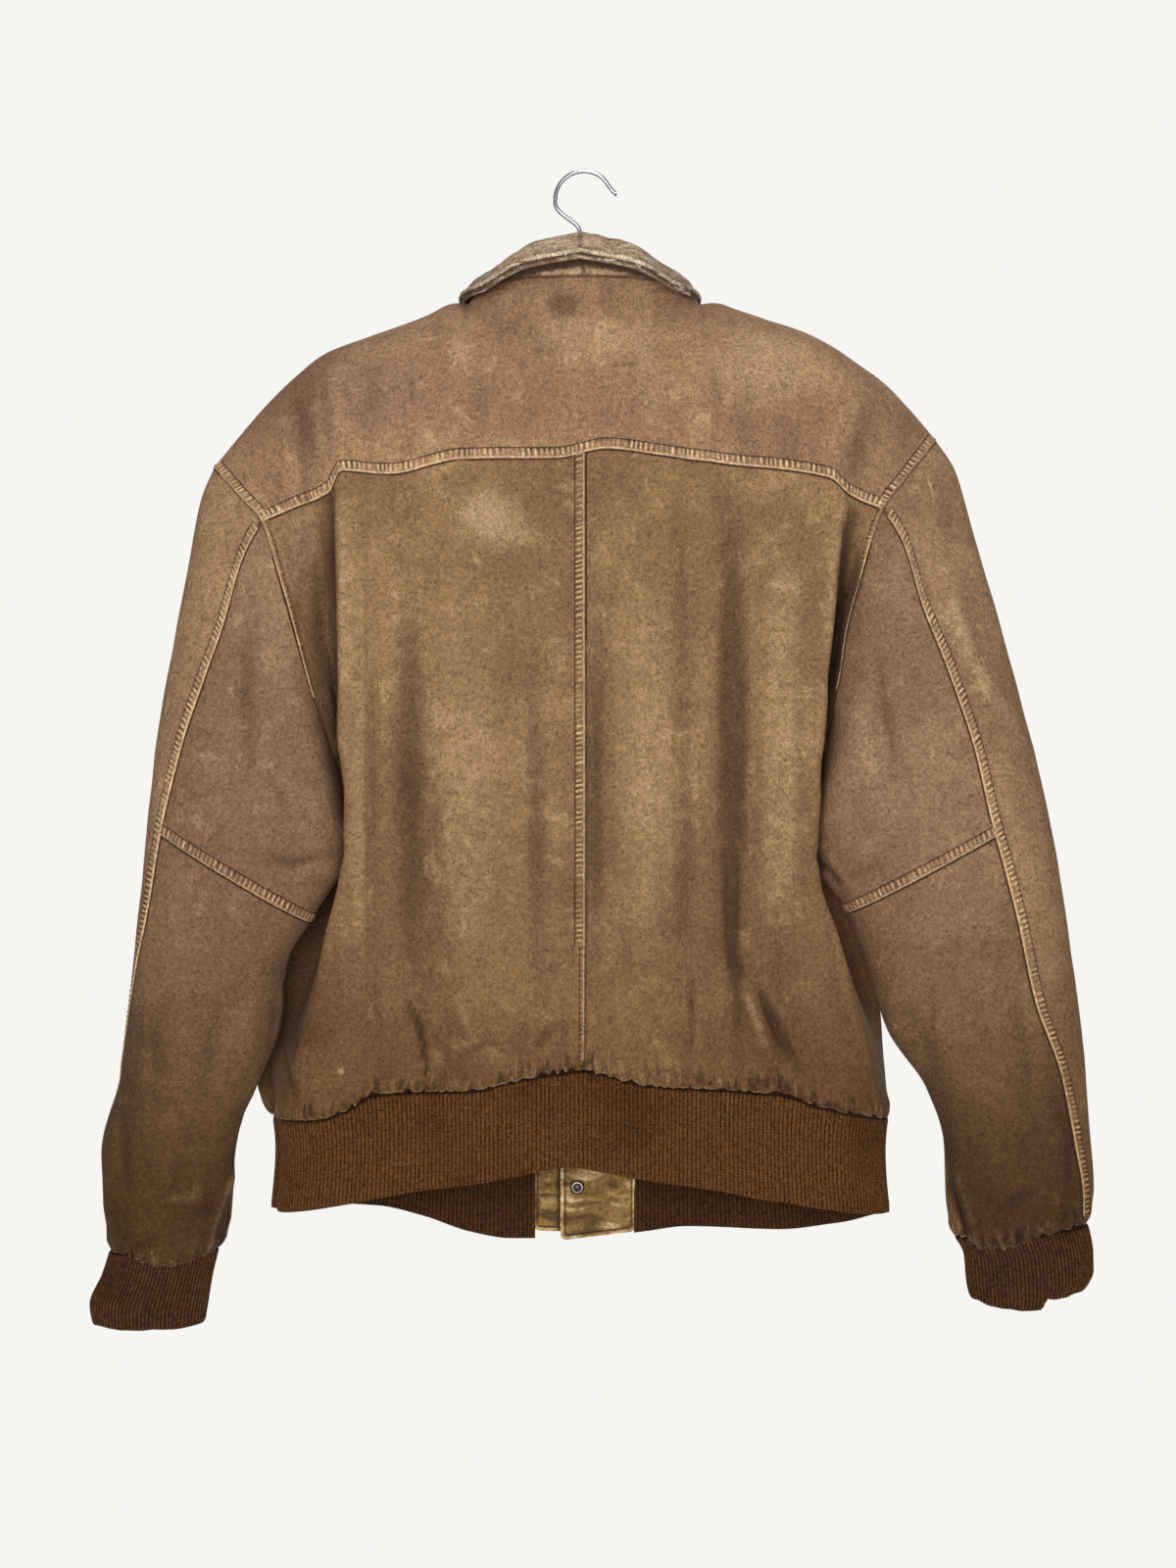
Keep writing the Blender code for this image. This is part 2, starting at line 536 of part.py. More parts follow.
def cloth(name, panel, thickness, finish, collection, closed=False):
    """A closed wall: the panel's grid, the same grid moved in by the thickness, and the rims between.

    The walls of neighbouring panels share their directions at a seam, which Solidify can't do.
    """
    outer = panel.grid if closed else panel.pulled_in()
    inner = outer - panel.normal * thickness
    rows, columns = outer.shape[:2]
    index = np.arange(rows * columns).reshape(rows, columns)
    if closed:
        index = np.concatenate([index, index[:, :1]], axis=1)
    inside = index + rows * columns
    faces = []
    for r in range(rows - 1):
        for c in range(index.shape[1] - 1):
            square = [(r, c), (r, c + 1), (r + 1, c + 1), (r + 1, c)]
            faces.append([index[i] for i in square])
            faces.append([inside[i] for i in reversed(square)])
    border = [[(0, c) for c in range(index.shape[1])], [(rows - 1, c) for c in range(index.shape[1])][::-1]]
    if not closed:
        border.append([(r, 0) for r in range(rows)][::-1])
        border.append([(r, index.shape[1] - 1) for r in range(rows)])
    for line in border:
        for here, there in zip(line, line[1:]):
            faces.append([index[there], index[here], inside[here], inside[there]])
    mesh = bpy.data.meshes.new(name)
    points = np.concatenate([outer.reshape(-1, 3), inner.reshape(-1, 3)])
    mesh.from_pydata(points.tolist(), [], [[int(i) for i in face] for face in faces])
    mesh.update()
    first = mesh.polygons[0]
    if np.dot(first.normal, panel.normal[0, 0]) < 0:
        mesh.flip_normals()
    mesh.materials.append(finish)
    mesh.shade_smooth()
    mesh.set_sharp_from_angle(angle=math.radians(40))
    made = bpy.data.objects.new(name, mesh)
    collection.objects.link(made)
    return made


def both_halves(row_function, across, alongs):
    """A grid whose rows run from the left edge over the centre to the right edge."""
    rows = []
    for along in alongs:
        left = row_function(LEFT, across, along)[::-1]
        right = row_function(RIGHT, across, along)
        middle = (left[-1] + right[0]) / 2
        rows.append(np.concatenate([left[:-1], middle[None], right[1:]]))
    return np.array(rows)


# Columns and rows shared by pieces that are sewn together, so that their seams match point for point.
NECK_COLUMNS = np.linspace(0, NECK_SHARE, 5)
SHOULDER_COLUMNS = np.array([0.53, 0.66, 0.735, 0.80, 0.85, 0.90, 0.945, 0.975, 1.0])
ACROSS = np.concatenate([NECK_COLUMNS, SHOULDER_COLUMNS])
NECK_POINT = len(NECK_COLUMNS) - 1
YOKE_STEPS = np.array([0, 0.06, 0.15, 0.3, 0.5, 0.75, 1.0])
ARM_STEPS = np.linspace(0, 1, 8)
FRONT_ARM_STEPS = np.array([0, 0.05, 0.12, 0.22, 0.36, 0.52, 0.68, 0.84, 1.0])
SIDE_STEPS = np.linspace(0, 1, 7)
SLEEVE_ALONGS = np.array([0, 0.05, 0.11, 0.18, 0.25, 0.33, 0.42, ELBOW, 0.60, 0.70, 0.80, 0.87, 0.93, 0.97, 1.0])
BACK_ALONGS = np.concatenate([ARM_STEPS * ARM_SHARE, mix(ARM_SHARE, 1, SIDE_STEPS[1:])])
FRONT_ALONGS = np.concatenate([FRONT_ARM_STEPS * FRONT_ARM_SHARE, mix(FRONT_ARM_SHARE, 1, SIDE_STEPS[1:])])
BODY_AXIS = np.array([0, 0, -0.45])


def body_panels():
    """Yoke, back and front panels, with their seams' walls shared."""
    yoke = Panel(both_halves(yoke_row, ACROSS, YOKE_STEPS), BODY_AXIS)
    backs = {side: Panel(np.array([back_row(side, ACROSS, a) for a in BACK_ALONGS]), BODY_AXIS)
             for side in (LEFT, RIGHT)}
    fronts = {side: Panel(np.array([front_row(side, ACROSS, a) for a in FRONT_ALONGS]), BODY_AXIS)
              for side in (LEFT, RIGHT)}
    half = len(ACROSS) - 1
    for side in (LEFT, RIGHT):
        yoke_half = yoke.normal[:, half:] if side == RIGHT else yoke.normal[:, half::-1]
        share_seam(yoke_half[-1], backs[side].normal[0])
        share_seam(yoke_half[0, NECK_POINT:], fronts[side].normal[0, NECK_POINT:])
        under = len(ARM_STEPS) - 1, len(FRONT_ARM_STEPS) - 1
        share_seam(backs[side].normal[under[0]:, -1], fronts[side].normal[under[1]:, -1])
    share_seam(backs[LEFT].normal[:, 0], backs[RIGHT].normal[:, 0])
    share_seam(fronts[LEFT].normal[:, 0], fronts[RIGHT].normal[:, 0])
    return yoke, backs, fronts


def sleeve_turns(side, along):
    """Turns round the section for the top sleeve (inner seam, front, back seam) and the under sleeve.

    At the armhole they match the points of the body; further down they spread out evenly.
    """
    seam, inner = seam_turn(side, along, "turn"), seam_turn(side, along, "inner_turn")
    spread = ease(along / 0.35)
    crest = mix(2.0, mix(inner, 2 + seam, 0.6), spread)
    front = mix(crest, inner, mix(FRONT_ARM_STEPS, np.linspace(0, 1, len(FRONT_ARM_STEPS)), spread)[::-1])
    back = mix(crest, 2 + seam, mix(YOKE_STEPS, np.linspace(0, 1, len(YOKE_STEPS)), spread)[1:])
    return np.concatenate([front, back]), mix(seam, inner, ARM_STEPS)


def sleeve_panels(side):
    """The top sleeve, from its inner seam round the front to its back seam, and the two under pieces."""
    top, under = [], []
    for along in SLEEVE_ALONGS:
        top_turns, under_turns = sleeve_turns(side, along)
        top.append(sleeve_row(side, top_turns, along))
        under.append(sleeve_row(side, under_turns, along))
    axis = np.array([side * 0.27, -0.02, -0.5])
    top, under = Panel(np.array(top), axis), Panel(np.array(under), axis)
    share_seam(top.normal[:, -1], under.normal[:, 0])
    share_seam(top.normal[:, 0], under.normal[:, -1])
    return top, under


def share_armhole(side, yoke, back, front, top, under):
    """The armhole seam: the front panel, yoke and back panel against the head of the sleeve."""
    front_part = front.normal[len(FRONT_ARM_STEPS) - 1::-1, -1]
    yoke_part = yoke.normal[1:, -1 if side == RIGHT else 0]
    count = len(FRONT_ARM_STEPS)
    share_seam(front_part, top.normal[0, :count])
    share_seam(yoke_part, top.normal[0, count:])
    share_seam(back.normal[:len(ARM_STEPS), -1], under.normal[0])


def part_of(panel, rows):
    """A stretch of a panel's rows as a panel of its own."""
    piece = Panel(panel.grid[rows], BODY_AXIS)
    piece.normal = panel.normal[rows]
    return piece


def make_body_and_sleeves(collection, leather, knit):
    yoke, backs, fronts = body_panels()
    elbow = int(np.argmin(np.abs(SLEEVE_ALONGS - ELBOW)))
    for side in (LEFT, RIGHT):
        name = SIDE_NAMES[side]
        top, under = sleeve_panels(side)
        share_armhole(side, yoke, backs[side], fronts[side], top, under)
        upper, lower = part_of(under, slice(0, elbow + 1)), part_of(under, slice(elbow, None))
        for piece in (top, upper):
            piece.gaps["top"] = ARMHOLE_GAP
        cloth(f"sleeve_top_{name}", top, LEATHER, leather, collection)
        cloth(f"sleeve_under_upper_{name}", upper, LEATHER, leather, collection)
        cloth(f"sleeve_under_lower_{name}", lower, LEATHER, leather, collection)
        make_cuff(side, top, under, collection, knit)
    for side in (LEFT, RIGHT):
        cloth(f"back_panel_{SIDE_NAMES[side]}", backs[side], LEATHER, leather, collection)
        cloth(f"front_{SIDE_NAMES[side]}", fronts[side], LEATHER, leather, collection)
    cloth("back_yoke", yoke, LEATHER, leather, collection)


def make_cuff(side, top, under, collection, knit):
    """The cuff takes up the columns and wall directions of the sleeve's end."""
    top_turns, under_turns = sleeve_turns(side, 1.0)
    turns = np.concatenate([top_turns, 2 + under_turns[1:-1]])
    grid = np.array([cuff_row(side, turns, a) for a in (0, 0.35, 0.75, 1.0)])
    middle = grid.reshape(-1, 3).mean(axis=0)
    panel = Panel(grid, middle)
    ring = np.concatenate([grid[:, -1:], grid, grid[:, :1]], axis=1)
    panel.normal = normals_of(ring, middle)[:, 1:-1]
    panel.normal[0] = np.concatenate([top.normal[-1], under.normal[-1, 1:-1]])
    cloth(f"cuff_{SIDE_NAMES[side]}", panel, KNIT, knit, collection, closed=True)


def make_waistband(collection, knit):
    """From the overlap tab round the left side, the back and the right side to the underlap tab."""
    places = []
    for side, end in ((LEFT, BAND_ENDS[LEFT]), (RIGHT, BAND_ENDS[RIGHT])):
        front = [(side, True, end)] + [(side, True, a) for a in ACROSS if a > end + 0.01]
        back = [(side, False, a) for a in ACROSS[-2::-1]]
        stretch = front + back
        places += stretch if side == LEFT else stretch[::-1][1:]
    grid = np.array([[band_point(*place, drop) for place in places] for drop in (0, 0.35, 0.7, 1.0)])
    panel = Panel(grid, np.array([0, 0, -0.72]))
    cloth("waistband", panel, KNIT, knit, collection)


def make_collar(collection, leather):
    angles = np.concatenate([90 * NECK_COLUMNS / NECK_SHARE, 180 - 90 * NECK_COLUMNS[-2::-1] / NECK_SHARE])
    stands, falls = {}, {}
    for side in (LEFT, RIGHT):
        stands[side] = Panel(np.array([stand_row(side, angles, a) for a in (0, 0.5, 1.0)]), np.array([0, 0, -0.1]))
        falls[side] = Panel(np.array([fall_row(side, angles, a) for a in (0, 0.1, 0.22, 0.4, 0.7, 1.0)]),
                            np.array([0, 0, -0.4]))
        for panel in (stands[side], falls[side]):
            panel.gaps.update(top=0, bottom=0, last=0.5 * MM)
    for pair in (stands, falls):
        share_seam(pair[LEFT].normal[:, 0], pair[RIGHT].normal[:, 0])
        for panel in pair.values():
            level(panel.normal[0])
    for side in (LEFT, RIGHT):
        cloth(f"collar_stand_{SIDE_NAMES[side]}", stands[side], LEATHER, leather, collection)
        cloth(f"collar_fall_{SIDE_NAMES[side]}", falls[side], COLLAR_LEATHER, leather, collection)


def tube(name, points, diameter, finish, collection, sides=2):
    curve = bpy.data.curves.new(name, "CURVE")
    curve.dimensions = "3D"
    curve.bevel_depth = diameter / 2
    curve.bevel_resolution = sides
    curve.use_fill_caps = True
    spline = curve.splines.new("POLY")
    spline.points.add(len(points) - 1)
    for slot, point in zip(spline.points, points):
        slot.co = (*point, 1)
    curve.materials.append(finish)
    made = bpy.data.objects.new(name, curve)
    collection.objects.link(made)
    return made


def in_hook_plane(rows):
    return [(x, 0, -down) for x, down in zip(rows["x"], rows["down"])]


def hanger_path():
    """Hook tip, over the top, down the stem, out and round the shoulders, back beside the stem."""
    radius = HOOK_RADIUS + WIRE / 2
    arc = [(radius * math.sin(math.radians(a)), 0, WIRE / 2 - radius + radius * math.cos(math.radians(a)))
           for a in range(42, -103, -12)]
    stem = in_hook_plane(HOOK_STEM)
    neck = (HOOK_STEM["x"][-1], 0, -HANGER_NECK_DOWN + 8 * MM)
    left, right = (shoulder_wire(side) for side in (LEFT, RIGHT))
    beside = (HOOK_STEM["x"][-1] + WIRE + 0.4 * MM, 0, neck[2] + 16 * MM)
    return in_hook_plane(HOOK_TIP) + arc + stem + [neck] + left + right[::-1] + [
        (beside[0] + 1 * MM, 0, neck[2]), beside]


def shoulder_wire(side):
    """One arm under the shoulder, its rounded end, and half of the lower bar."""
    xs = np.linspace(20 * MM, HANGER_REACH, 10)
    crest = read(SHOULDER[side], "x", np.maximum(xs, SHOULDER[side]["x"][0]), "down")
    lead = ease((xs - 85 * MM) / (45 * MM))
    under = HANGER_UNDER_SHOULDER * np.hypot(1, np.gradient(crest, xs))
    down = mix(HANGER_NECK_DOWN + 0.23 * (xs - 20 * MM), crest + under, lead)
    arm = [(side * x, 0, -d) for x, d in zip(xs, down)]
    slope = math.atan2(down[-1] - down[-2], xs[-1] - xs[-2])
    radius = (HANGER_BAR_DOWN - down[-1]) / (1 + math.cos(slope))
    centre_x, centre_down = xs[-1] - radius * math.sin(slope), HANGER_BAR_DOWN - radius
    bend = [(side * (centre_x + radius * math.sin(a)), 0, radius * math.cos(a) - centre_down)
            for a in np.linspace(slope, math.pi, 7)[1:]]
    bar = [(side * x, 0, -HANGER_BAR_DOWN) for x in (0.66 * HANGER_REACH, 0.33 * HANGER_REACH, 6 * MM)]
    return arm + bend + bar


def turned(name, profile, place, towards_back, finish, collection):
    """A round metal piece: a profile of (radius, height), top to bottom, turned by a Screw modifier."""
    mesh = bpy.data.meshes.new(name)
    mesh.from_pydata([(radius, 0, height) for radius, height in profile],
                     [(i, i + 1) for i in range(len(profile) - 1)], [])
    mesh.materials.append(finish)
    made = bpy.data.objects.new(name, mesh)
    collection.objects.link(made)
    screw = made.modifiers.new("turn", "SCREW")
    screw.steps = screw.render_steps = 16
    screw.use_merge_vertices = True
    screw.merge_threshold = 0.00001
    made.location = place
    made.rotation_euler = (math.radians(90 if towards_back else -90), 0, 0)
    return made


def make_tab(name, spec, collection, leather):
    """A folded leather end of the waistband."""
    shares = np.linspace(0, 1, 5)
    grid = np.array([[(mix(spec["from_x"], spec["to_x"], c), spec["y"],
                       -mix(TAB_TOP_DOWN, mix(spec["from_down"], spec["to_down"], c), d)) for c in shares]
                     for d in (0, 0.5, 1)])
    panel = Panel(grid, BODY_AXIS)
    panel.gaps = dict.fromkeys(panel.gaps, 0)
    return cloth(f"waist_tab_{name}", panel, TAB_LEATHER, leather, collection)


def make_placket(collection, leather):
    """A strip over the closing edge of the fronts, from the neck to the waistband."""
    xs = np.array([PLACKET_LEFT_X, PLACKET_LEFT_X / 2, 0, PLACKET_RIGHT_X / 2, PLACKET_RIGHT_X])
    alongs = np.append(FRONT_ALONGS[1:-1], 0.995)
    fronts = np.array([closing_row(xs, a) for a in alongs])
    grid = fronts + normals_of(fronts, BODY_AXIS) * (LEATHER + 1.5 * SEAM_GAP)
    cloth("front_placket", Panel(grid, BODY_AXIS), LEATHER, leather, collection)


def make_snaps(collection, steel):
    """The tab's snap: a ring inside and a cap outside, and the placket's caps."""
    ring = [(0, 0.4 * SNAP_RING_HEIGHT), (SNAP_HOLE_RADIUS, 0.4 * SNAP_RING_HEIGHT),
            (SNAP_HOLE_RADIUS + 0.3 * MM, SNAP_RING_HEIGHT), (0.75 * SNAP_RING_RADIUS, SNAP_RING_HEIGHT),
            (SNAP_RING_RADIUS, 0.5 * SNAP_RING_HEIGHT), (SNAP_RING_RADIUS, 0), (0, 0)]
    cap = [(0, CAP_HEIGHT), (0.5 * CAP_RADIUS, 0.92 * CAP_HEIGHT), (0.85 * CAP_RADIUS, 0.6 * CAP_HEIGHT),
           (CAP_RADIUS, 0.25 * CAP_HEIGHT), (CAP_RADIUS, 0), (0, 0)]
    inside = TABS["underlap"]["y"] - TAB_LEATHER - SEAM_GAP
    outside = TABS["overlap"]["y"] + SEAM_GAP
    turned("snap_ring", ring, (SNAP_X, inside, -SNAP_DOWN), True, steel, collection)
    turned("snap_cap", cap, (SNAP_X, outside, -SNAP_DOWN), False, steel, collection)
    for i, along in enumerate(np.linspace(0.16, 0.93, PLACKET_SNAPS)):
        under = closing_row(SNAP_X + np.array([-1, 0, 1]) * CAP_RADIUS, along)
        place = (SNAP_X, under[:, 1].max() + LEATHER + 3 * SEAM_GAP, under[1, 2])
        turned(f"placket_snap_{i + 1}", cap, place, False, steel, collection)


def build():
    for old in list(bpy.data.objects):
        bpy.data.objects.remove(old)
    collection = bpy.data.collections.new("leather_jacket")
    bpy.context.scene.collection.children.link(collection)
    leather = material("worn_leather", (0.25, 0.155, 0.08), 0.85)
    knit = material("ribbed_knit", (0.075, 0.03, 0.01), 0.95)
    steel = material("chromed_wire", (0.7, 0.7, 0.7), 0.2, 1.0)
    make_body_and_sleeves(collection, leather, knit)
    make_waistband(collection, knit)
    make_collar(collection, leather)
    for name, spec in TABS.items():
        make_tab(name, spec, collection, leather)
    make_placket(collection, leather)
    make_snaps(collection, steel)
    tube("hanger", hanger_path(), WIRE, steel, collection)


build()
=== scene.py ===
"""The worn leather jacket on its plain wire hanger, dressed for looking at.

Metres, +Z up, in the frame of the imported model: the origin is the inside top of the hanger's hook,
the back of the jacket faces -Y and its front +Y, so +X is the wearer's right. Tables are in
millimetres, and "down" is the distance below the origin.
"""
import math

import bpy
import numpy as np
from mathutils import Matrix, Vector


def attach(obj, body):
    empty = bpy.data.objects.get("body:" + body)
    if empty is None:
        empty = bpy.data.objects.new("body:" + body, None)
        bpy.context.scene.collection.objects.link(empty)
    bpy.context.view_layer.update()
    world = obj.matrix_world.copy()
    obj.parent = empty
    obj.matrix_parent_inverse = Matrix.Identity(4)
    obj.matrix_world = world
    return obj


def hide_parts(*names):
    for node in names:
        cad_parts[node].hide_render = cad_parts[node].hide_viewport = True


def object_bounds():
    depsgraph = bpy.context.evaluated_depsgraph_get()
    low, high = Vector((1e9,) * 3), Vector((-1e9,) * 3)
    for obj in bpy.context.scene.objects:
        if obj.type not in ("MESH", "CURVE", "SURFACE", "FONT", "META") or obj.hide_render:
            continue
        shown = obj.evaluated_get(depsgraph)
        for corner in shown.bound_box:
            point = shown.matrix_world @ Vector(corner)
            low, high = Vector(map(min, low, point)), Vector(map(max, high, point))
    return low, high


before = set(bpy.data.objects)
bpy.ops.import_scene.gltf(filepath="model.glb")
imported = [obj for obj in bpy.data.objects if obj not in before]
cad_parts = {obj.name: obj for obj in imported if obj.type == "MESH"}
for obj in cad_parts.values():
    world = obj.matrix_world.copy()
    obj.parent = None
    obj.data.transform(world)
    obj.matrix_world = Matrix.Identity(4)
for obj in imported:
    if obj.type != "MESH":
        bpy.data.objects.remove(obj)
cad_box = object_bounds()

MM = 0.001
LEFT, RIGHT = -1, 1
SIDE_NAMES = {LEFT: "left", RIGHT: "right"}

# ---------------------------------------------------------------- sizes
LEATHER = 1.4 * MM
KNIT = 2.6 * MM
COLLAR_LEATHER = 2.2 * MM
TAB_LEATHER = 2.6 * MM
SEAM_GAP = 0.3 * MM
WIRE = 3.2 * MM

BACK_ARMHOLE_DEPTH = 50 * MM    # how far the armhole bows out behind the shoulder point
FRONT_ARMHOLE_DEPTH = 43 * MM
UNDERARM_Y = 2 * MM
ARM_SHARE = 0.45                # share of the back panel's rows that lie along the armhole
FRONT_ARM_SHARE = 0.5
NECK_SHARE = 0.4                # share of a shoulder's columns that lie along the neck
SIDE_SEAM_DOWN = 691 * MM       # where the side seams end at the waistband


def table(columns, rows):
    """A table with named columns: angles, shares and "along" stay as they are, the rest are millimetres."""
    names = columns.split()
    values = np.array(rows, dtype=float)
    plain = {"along", "angle", "turn", "inner_turn"}
    return {name: values[:, i] * (1 if name in plain else MM) for i, name in enumerate(names)}


# The edge of the body on each side: the armhole down to the underarm, then the side seam.
# fold_x is the crest of the long fold beside the armhole, tuck_x the bottom of the tuck behind it.
SIDES = {
    LEFT: table("down fold_x tuck_x edge_x", [
        (215, 182, 215, 271.4),
        (240, 179, 203, 248.4),
        (260, 177, 197, 230.8),
        (300, 177.5, 190, 217.3),
        (340, 177, 186, 206.5),
        (392, 176.5, 179, 193.4),
        (431, 174, 172, 186),
        (446, 171, 168, 179.5),
        (470, 168, 165, 182),
        (500, 168, 165, 200),
        (560, 183, 183, 217),
        (600, 191.5, 201, 226),
        (645, 206, 216, 227.5),
        (691, 216, 223, 226.5)]),
    RIGHT: table("down fold_x tuck_x edge_x", [
        (196, 190, 208, 257.8),
        (226, 187, 201, 232.9),
        (252, 185, 197, 213.4),
        (300, 182, 190, 197),
        (337, 179, 183, 187),
        (378, 174, 175, 182),
        (426, 168.5, 166, 180),
        (441, 166, 162, 174),
        (466, 165, 160, 177.5),
        (500, 164, 160, 196),
        (560, 180, 180, 212),
        (600, 191, 200, 219),
        (645, 205, 214, 222),
        (691, 214, 221, 224.5)]),
}
TIP_DOWN = {LEFT: 215.3 * MM, RIGHT: 195.9 * MM}         # shoulder point, top of the armhole
CORNER_DOWN = {LEFT: 259.8 * MM, RIGHT: 251.4 * MM}      # where the yoke seam meets the armhole
UNDERARM_DOWN = {LEFT: 431 * MM, RIGHT: 426 * MM}

# Depths of the back (negative, towards the viewer) and of the front, level by level.
DEPTHS = table("down centre_y fold_y tuck_y side_y front_y", [
    (196, -58, -57, -52, 0, 43),
    (256, -60, -59, -50, 0, 44.5),
    (300, -62, -60, -38, 0, 45),
    (340, -63, -60, -24, 0, 45.5),
    (390, -64, -59, -12, 0, 46),
    (428, -64, -58, 3, 2, 46),
    (444, -64, -57, 8, 14, 46),
    (468, -64, -57, 12, 21, 46),
    (500, -64, -56, 14, 25, 46),
    (560, -63, -53, 13, 25, 46),
    (600, -62, -49, 3, 21, 46),
    (645, -60, -40, -14, 12, 45),
    (691, -57, -28, -14, 4, 43)])

# Long soft flutes down the back: a trough is pushed in towards the body by its depth.
FLUTES = table("top_x bottom_x width top_depth bottom_depth", [
    (-133, -119, 20, 3, 9),
    (-152, -150, 8, 2, 4),
    (-3, -3, 12, 2, 5),
    (75, 74, 8, 2, 3),
    (106, 100, 17, 5, 9),
    (146, 142, 8, 0, 5),
    (-66, -70, 24, -3, -4),
    (44, 42, 20, -3, -4)])

YOKE_SEAM = table("x down", [
    (-231, 259.8), (-205, 250), (-181, 241), (-172, 226), (-139, 228), (-87, 218), (-20, 217),
    (15, 210.5), (52, 215), (114, 222), (175, 231), (188, 242), (213.4, 251.4)])
BACK_HEM = table("x down", [
    (-227, 691), (-195, 688), (-167, 679), (-150, 669), (-81, 665), (-49, 658), (0, 651.5),
    (40, 660), (88, 665), (137, 668), (171, 678), (225, 691)])
FRONT_HEM = table("x down", [
    (-227, 691), (-155, 700), (-86, 714), (0, 718), (86, 713), (155, 704), (225, 691)])
SHOULDER = {
    LEFT: table("x down", [
        (84, 91), (93, 94.5), (125, 108.8), (162, 121.7), (189, 132), (215, 151.2), (242, 179.3),
        (271.4, 215.3)]),
    RIGHT: table("x down", [
        (84, 90), (128, 106), (167, 121), (203, 143.3), (222, 157), (238, 173.6), (257.8, 195.9)]),
}
FRONT_BULGE = {LEFT: 15 * MM, RIGHT: 0}     # how far the front blouses out beside its side seam
FRONT_BULGE_DOWN = 668 * MM
SHOULDER_SEAM_FORWARD = 6 * MM  # the shoulder seam lies in front of the crest, and below it
SHOULDER_SEAM_DROP = 1.5 * MM

# Sections of the sleeve from the armhole to the wrist: outer and inner ends of each section, the
# middle's place in depth, half its thickness, and how far its faces bow towards the body.
SLEEVES = {
    LEFT: table("along out_x out_down in_x in_down centre_y half_depth bow", [
        (0.00, 271.4, 215.3, 186, 431, 1, 46, 16),
        (0.08, 280, 242, 183, 453, -8, 45, 13),
        (0.18, 288, 292, 178, 474, -17, 42, 8),
        (0.30, 296.5, 346, 173.5, 495, -27, 38, 4),
        (0.42, 305, 400, 177, 514, -32, 38, 1),
        (0.52, 314.5, 475, 197, 547, -33, 38, 0),
        (0.60, 320.5, 540, 212, 572, -32, 37, 0),
        (0.70, 327, 606, 229, 631, -28, 36, 0),
        (0.80, 334, 660, 242, 672, -24, 34, 0),
        (0.90, 350, 718, 254.5, 722, -18, 31, 0),
        (0.96, 350, 752, 257, 762, -14, 29, 0),
        (1.00, 344.5, 786, 266, 784.5, -12, 24, 0)]),
    RIGHT: table("along out_x out_down in_x in_down centre_y half_depth bow", [
        (0.00, 257.8, 195.9, 180, 426, 1, 46, 14),
        (0.08, 270, 218, 179, 444, -8, 45, 12),
        (0.18, 283, 269, 172.5, 469, -17, 42, 8),
        (0.30, 299.5, 330, 168, 491, -27, 38, 4),
        (0.42, 316.5, 398, 171, 513, -32, 38, 1),
        (0.52, 332.5, 462, 190, 540, -33, 38, 0),
        (0.60, 345, 527, 205, 579, -32, 37, 0),
        (0.70, 355.5, 595, 219, 626, -28, 36, 0),
        (0.80, 363, 650, 247, 669, -24, 34, 0),
        (0.90, 367.5, 706, 261, 709, -18, 31, 0),
        (0.96, 370.5, 743, 263.5, 752, -14, 29, 0),
        (1.00, 366, 767, 269.5, 776, -12, 25, 0)]),
}
# Where the sleeve's back seam and inner seam run, as turns round the section (0 outer, 1 inner).
SLEEVE_SEAMS = {
    LEFT: table("along turn inner_turn", [
        (0.18, 0.32, 1.05), (0.30, 0.295, 1.05), (0.42, 0.262, 1.05), (0.52, 0.225, 1.05),
        (0.60, 0.19, 1.04), (0.70, 0.09, 1.02), (0.80, 0.03, 1.0), (0.90, -0.03, 0.97),
        (1.00, -0.06, 0.93)]),
    RIGHT: table("along turn inner_turn", [
        (0.18, 0.365, 1.05), (0.30, 0.355, 1.05), (0.42, 0.345, 1.05), (0.52, 0.365, 1.05),
        (0.60, 0.355, 1.04), (0.70, 0.34, 1.02), (0.80, 0.295, 1.0), (0.90, 0.243, 0.96),
        (1.00, 0.18, 0.80)]),
}
ELBOW = 0.52

CUFFS = {
    LEFT: table("along out_x out_down in_x in_down centre_y half_depth", [
        (0.0, 344.5, 786.6, 266, 785.1, -12, 24),
        (0.35, 350.5, 806, 271, 806, -12, 24),
        (0.75, 359.5, 827, 275, 828, -12, 26),
        (1.0, 357.5, 840, 277, 840, -12, 26)]),
    RIGHT: table("along out_x out_down in_x in_down centre_y half_depth", [
        (0.0, 366, 767.6, 269.5, 776.6, -12, 25),
        (0.35, 370, 788, 278, 792, -12, 25),
        (0.75, 370.5, 804, 280, 815, -12, 26),
        (1.0, 366, 816, 282, 825, -12, 26)]),
}
CUFF_DIP = {LEFT: 1.5 * MM, RIGHT: 5.5 * MM}    # how much lower the cuff's middle hangs than its two ends

# Waistband, bottom edge: the back rises in the middle and the front hangs lower.
BAND_BACK_BOTTOM = table("x down", [
    (-228, 761), (-182, 751), (-114, 739), (-49, 728), (-16, 722), (31, 728), (105, 741),
    (171, 752), (229, 762)])
BAND_FRONT_BOTTOM = table("x down", [
    (-228, 761), (-155, 765), (-121, 773), (-86, 785), (-55, 790), (0, 790), (45, 785),
    (77, 781), (145, 783), (190, 777), (229, 762)])
BAND_PULLS_IN = 3 * MM          # the knit draws in a little below the leather
BAND_ENDS = {LEFT: 0.1634, RIGHT: 0.1674}   # where the knit ends beside the two tabs, as a share across
TABS = {                        # left and right edges, their lower corners, outer face
    "overlap": {"from_x": -38.5 * MM, "to_x": 18 * MM, "from_down": 785 * MM, "to_down": 787 * MM,
                "y": 45.3 * MM},
    "underlap": {"from_x": -17.8 * MM, "to_x": 39.1 * MM, "from_down": 792 * MM, "to_down": 785 * MM,
                 "y": 42.4 * MM},
}
TAB_TOP_DOWN = 718.5 * MM
